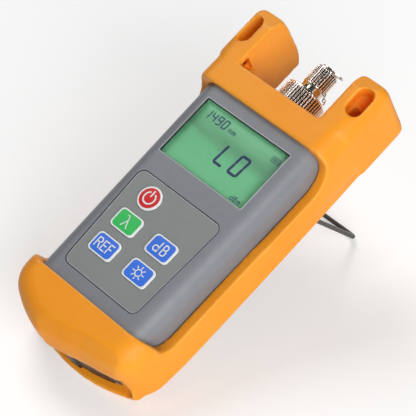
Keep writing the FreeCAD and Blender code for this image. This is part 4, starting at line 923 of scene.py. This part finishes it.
def make_keypad_lines():
    """Painted shade in the seam round the keypad film, and a painted highlight along the film's edge just
    inside it.
    """
    # dark strip in the seam is painted shade; the light strip inside it is a painted highlight
    seam = [(-0.22, -0.4), (-0.22, 0.02), (0.14, 0.02), (0.14, -0.4)]
    edge = [(-0.12, -0.2), (-0.12, -0.07), (0.14, -0.07), (0.14, -0.2)]
    frame_strip("keypad_seam", keypad_loop(0.0), (0.0, 0.0), seam, "housing", RECESS_SHADE)
    frame_strip("keypad_edge", keypad_loop(0.55), (0.0, 0.0), edge, "housing", RIM_HIGHLIGHT)


def circle_line(radius, begin, finish):
    """Points along part of a circle about the key's middle."""
    return [(radius * math.cos(a), radius * math.sin(a)) for a in angles(begin, finish, 40)]


# each key's printed sign, as lines about the key's middle and the width that they are drawn with
KEY_SIGNS = {
    "power_key": ([circle_line(2.9, 122, 418), [(0, 0.9), (0, 3.7)]], 0.75),
    "wavelength_key": ([[(-1.5, 2.9), (-0.9, 2.9), (-0.45, 2.3), (1.4, -2.2), (1.9, -2.6)],
                        [(0.1, 0.9), (-1.6, -2.6)]], 0.5),
    "decibel_key": ([[(-0.9, 2.6), (-0.9, -2.4)],
                     *shifted([circle_line(1.3, 0, 360)], -2.2, -1.1),
                     [(1.0, -2.4), (1.0, 2.6), (2.4, 2.6), (3.1, 2.1), (3.1, 0.9), (2.4, 0.3), (1.0, 0.3)],
                     [(2.4, 0.3), (3.4, -0.3), (3.4, -1.8), (2.6, -2.4), (1.0, -2.4)]], 0.62),
    "reference_key": ([[(-4.6, -2.3), (-4.6, 2.3), (-3.0, 2.3),
                        (-2.2, 1.7), (-2.2, 0.7), (-3.0, 0.1), (-4.6, 0.1)],
                       [(-3.2, 0.1), (-2.0, -2.3)],
                       [(1.3, 2.3), (-0.9, 2.3), (-0.9, -2.3), (1.3, -2.3)], [(-0.9, 0.1), (0.9, 0.1)],
                       [(4.6, 2.3), (2.5, 2.3), (2.5, -2.3)], [(2.5, 0.1), (4.2, 0.1)]], 0.62),
    "backlight_key": ([circle_line(1.6, 0, 360)] +
                      [[(r * math.cos(a), r * math.sin(a)) for r in (2.3, 3.2)]
                       for a in np.radians(np.arange(0, 360, 45))], 0.5),
}


def make_keys():
    """Key tops: slightly domed lids with a white rim, and their printed signs."""
    for key, centre in KEYS.items():
        loop = ring_loop(POWER_RADIUS) if key == "power_key" else rounded_loop(*KEY_HALF, KEY_CORNER)
        slot, finish = KEY_FINISHES[key]
        pillow(key + "_top", loop, centre, KEY_RISE - KEY_SINK, KEY_EDGE, KEY_CROWN, key, finish)
        lines, width = KEY_SIGNS[key]
        strokes(key + "_sign", lines, centre, width, KEY_RISE + SIGN_RISE, key, WHITE_PRINT)


make_keypad_lines()
make_display()
make_readout()
make_keys()


# ---------------------------------------------------------------- stage

def seen_plainly(tree):
    """1 for rays of the camera, of reflections or through clear pieces, and 0 for rays that carry light."""
    path = node(tree, "ShaderNodeLightPath").outputs
    seen = math_node(tree, "MAXIMUM", path["Is Camera Ray"], path["Is Glossy Ray"])
    return math_node(tree, "MAXIMUM", seen, path["Is Transmission Ray"])


def make_floor():
    """Pale floor that keeps the object's shadow."""
    bpy.ops.mesh.primitive_plane_add(size=6.0)
    floor = bpy.context.object
    floor.name = "floor"
    made = bpy.data.materials.new("pale_floor")
    made.use_nodes = True
    tree = made.node_tree
    surface = tree.nodes["Principled BSDF"].inputs
    surface["Base Color"].default_value = (0.72, 0.72, 0.72, 1)
    surface["Roughness"].default_value = 0.9
    surface["Specular IOR Level"].default_value = 0.1
    surface["Emission Color"].default_value = (1, 1, 1, 1)
    tree.links.new(math_node(tree, "MULTIPLY", seen_plainly(tree), FLOOR_GLOW), surface["Emission Strength"])
    floor.data.materials.append(made)


def make_light():
    """Dim grey sky, and two soft lamps that point to the object's middle and give most of its light."""
    world = bpy.data.worlds.new("sky")
    bpy.context.scene.world = world
    world.use_nodes = True
    tree = world.node_tree
    level = spread(tree, seen_plainly(tree), 0.0, 1.0, SKY_STRENGTH, SKY_SEEN)
    tree.links.new(level, tree.nodes["Background"].inputs["Strength"])
    for name, place, size, power in (("key_lamp", (-0.9, 0.4, 1.3), 0.8, 13.0),
                                     ("fill_lamp", (1.1, -0.5, 0.6), 1.0, 18.0)):
        lamp = bpy.data.lights.new(name, "AREA")
        lamp.energy = power
        lamp.size = size
        item = add_object(name, lamp)
        item.location = place
        item.rotation_euler = (Vector(LAMP_TARGET) - item.location).to_track_quat("-Z", "Y").to_euler()


def make_camera():
    """Camera whose axes come from its azimuth, elevation and roll."""
    lens = bpy.data.cameras.new("camera")
    lens.sensor_width = 36.0
    lens.lens = LENS
    lens.clip_start, lens.clip_end = 0.05, 20.0
    item = add_object("camera", lens)
    back = np.array([math.sin(AZIMUTH) * math.cos(ELEVATION), -math.cos(AZIMUTH) * math.cos(ELEVATION),
                     math.sin(ELEVATION)])
    right = np.array([math.cos(AZIMUTH), math.sin(AZIMUTH), 0.0])
    up = np.cross(back, right)
    rolled_right = right * math.cos(ROLL) - up * math.sin(ROLL)
    rolled_up = up * math.cos(ROLL) + right * math.sin(ROLL)
    matrix = Matrix(np.column_stack([rolled_right, rolled_up, back]).tolist()).to_4x4()
    matrix.translation = CAMERA_PLACE
    item.matrix_world = matrix
    bpy.context.scene.camera = item


make_floor()
make_light()
make_camera()
bpy.context.scene.view_settings.view_transform = "Standard"
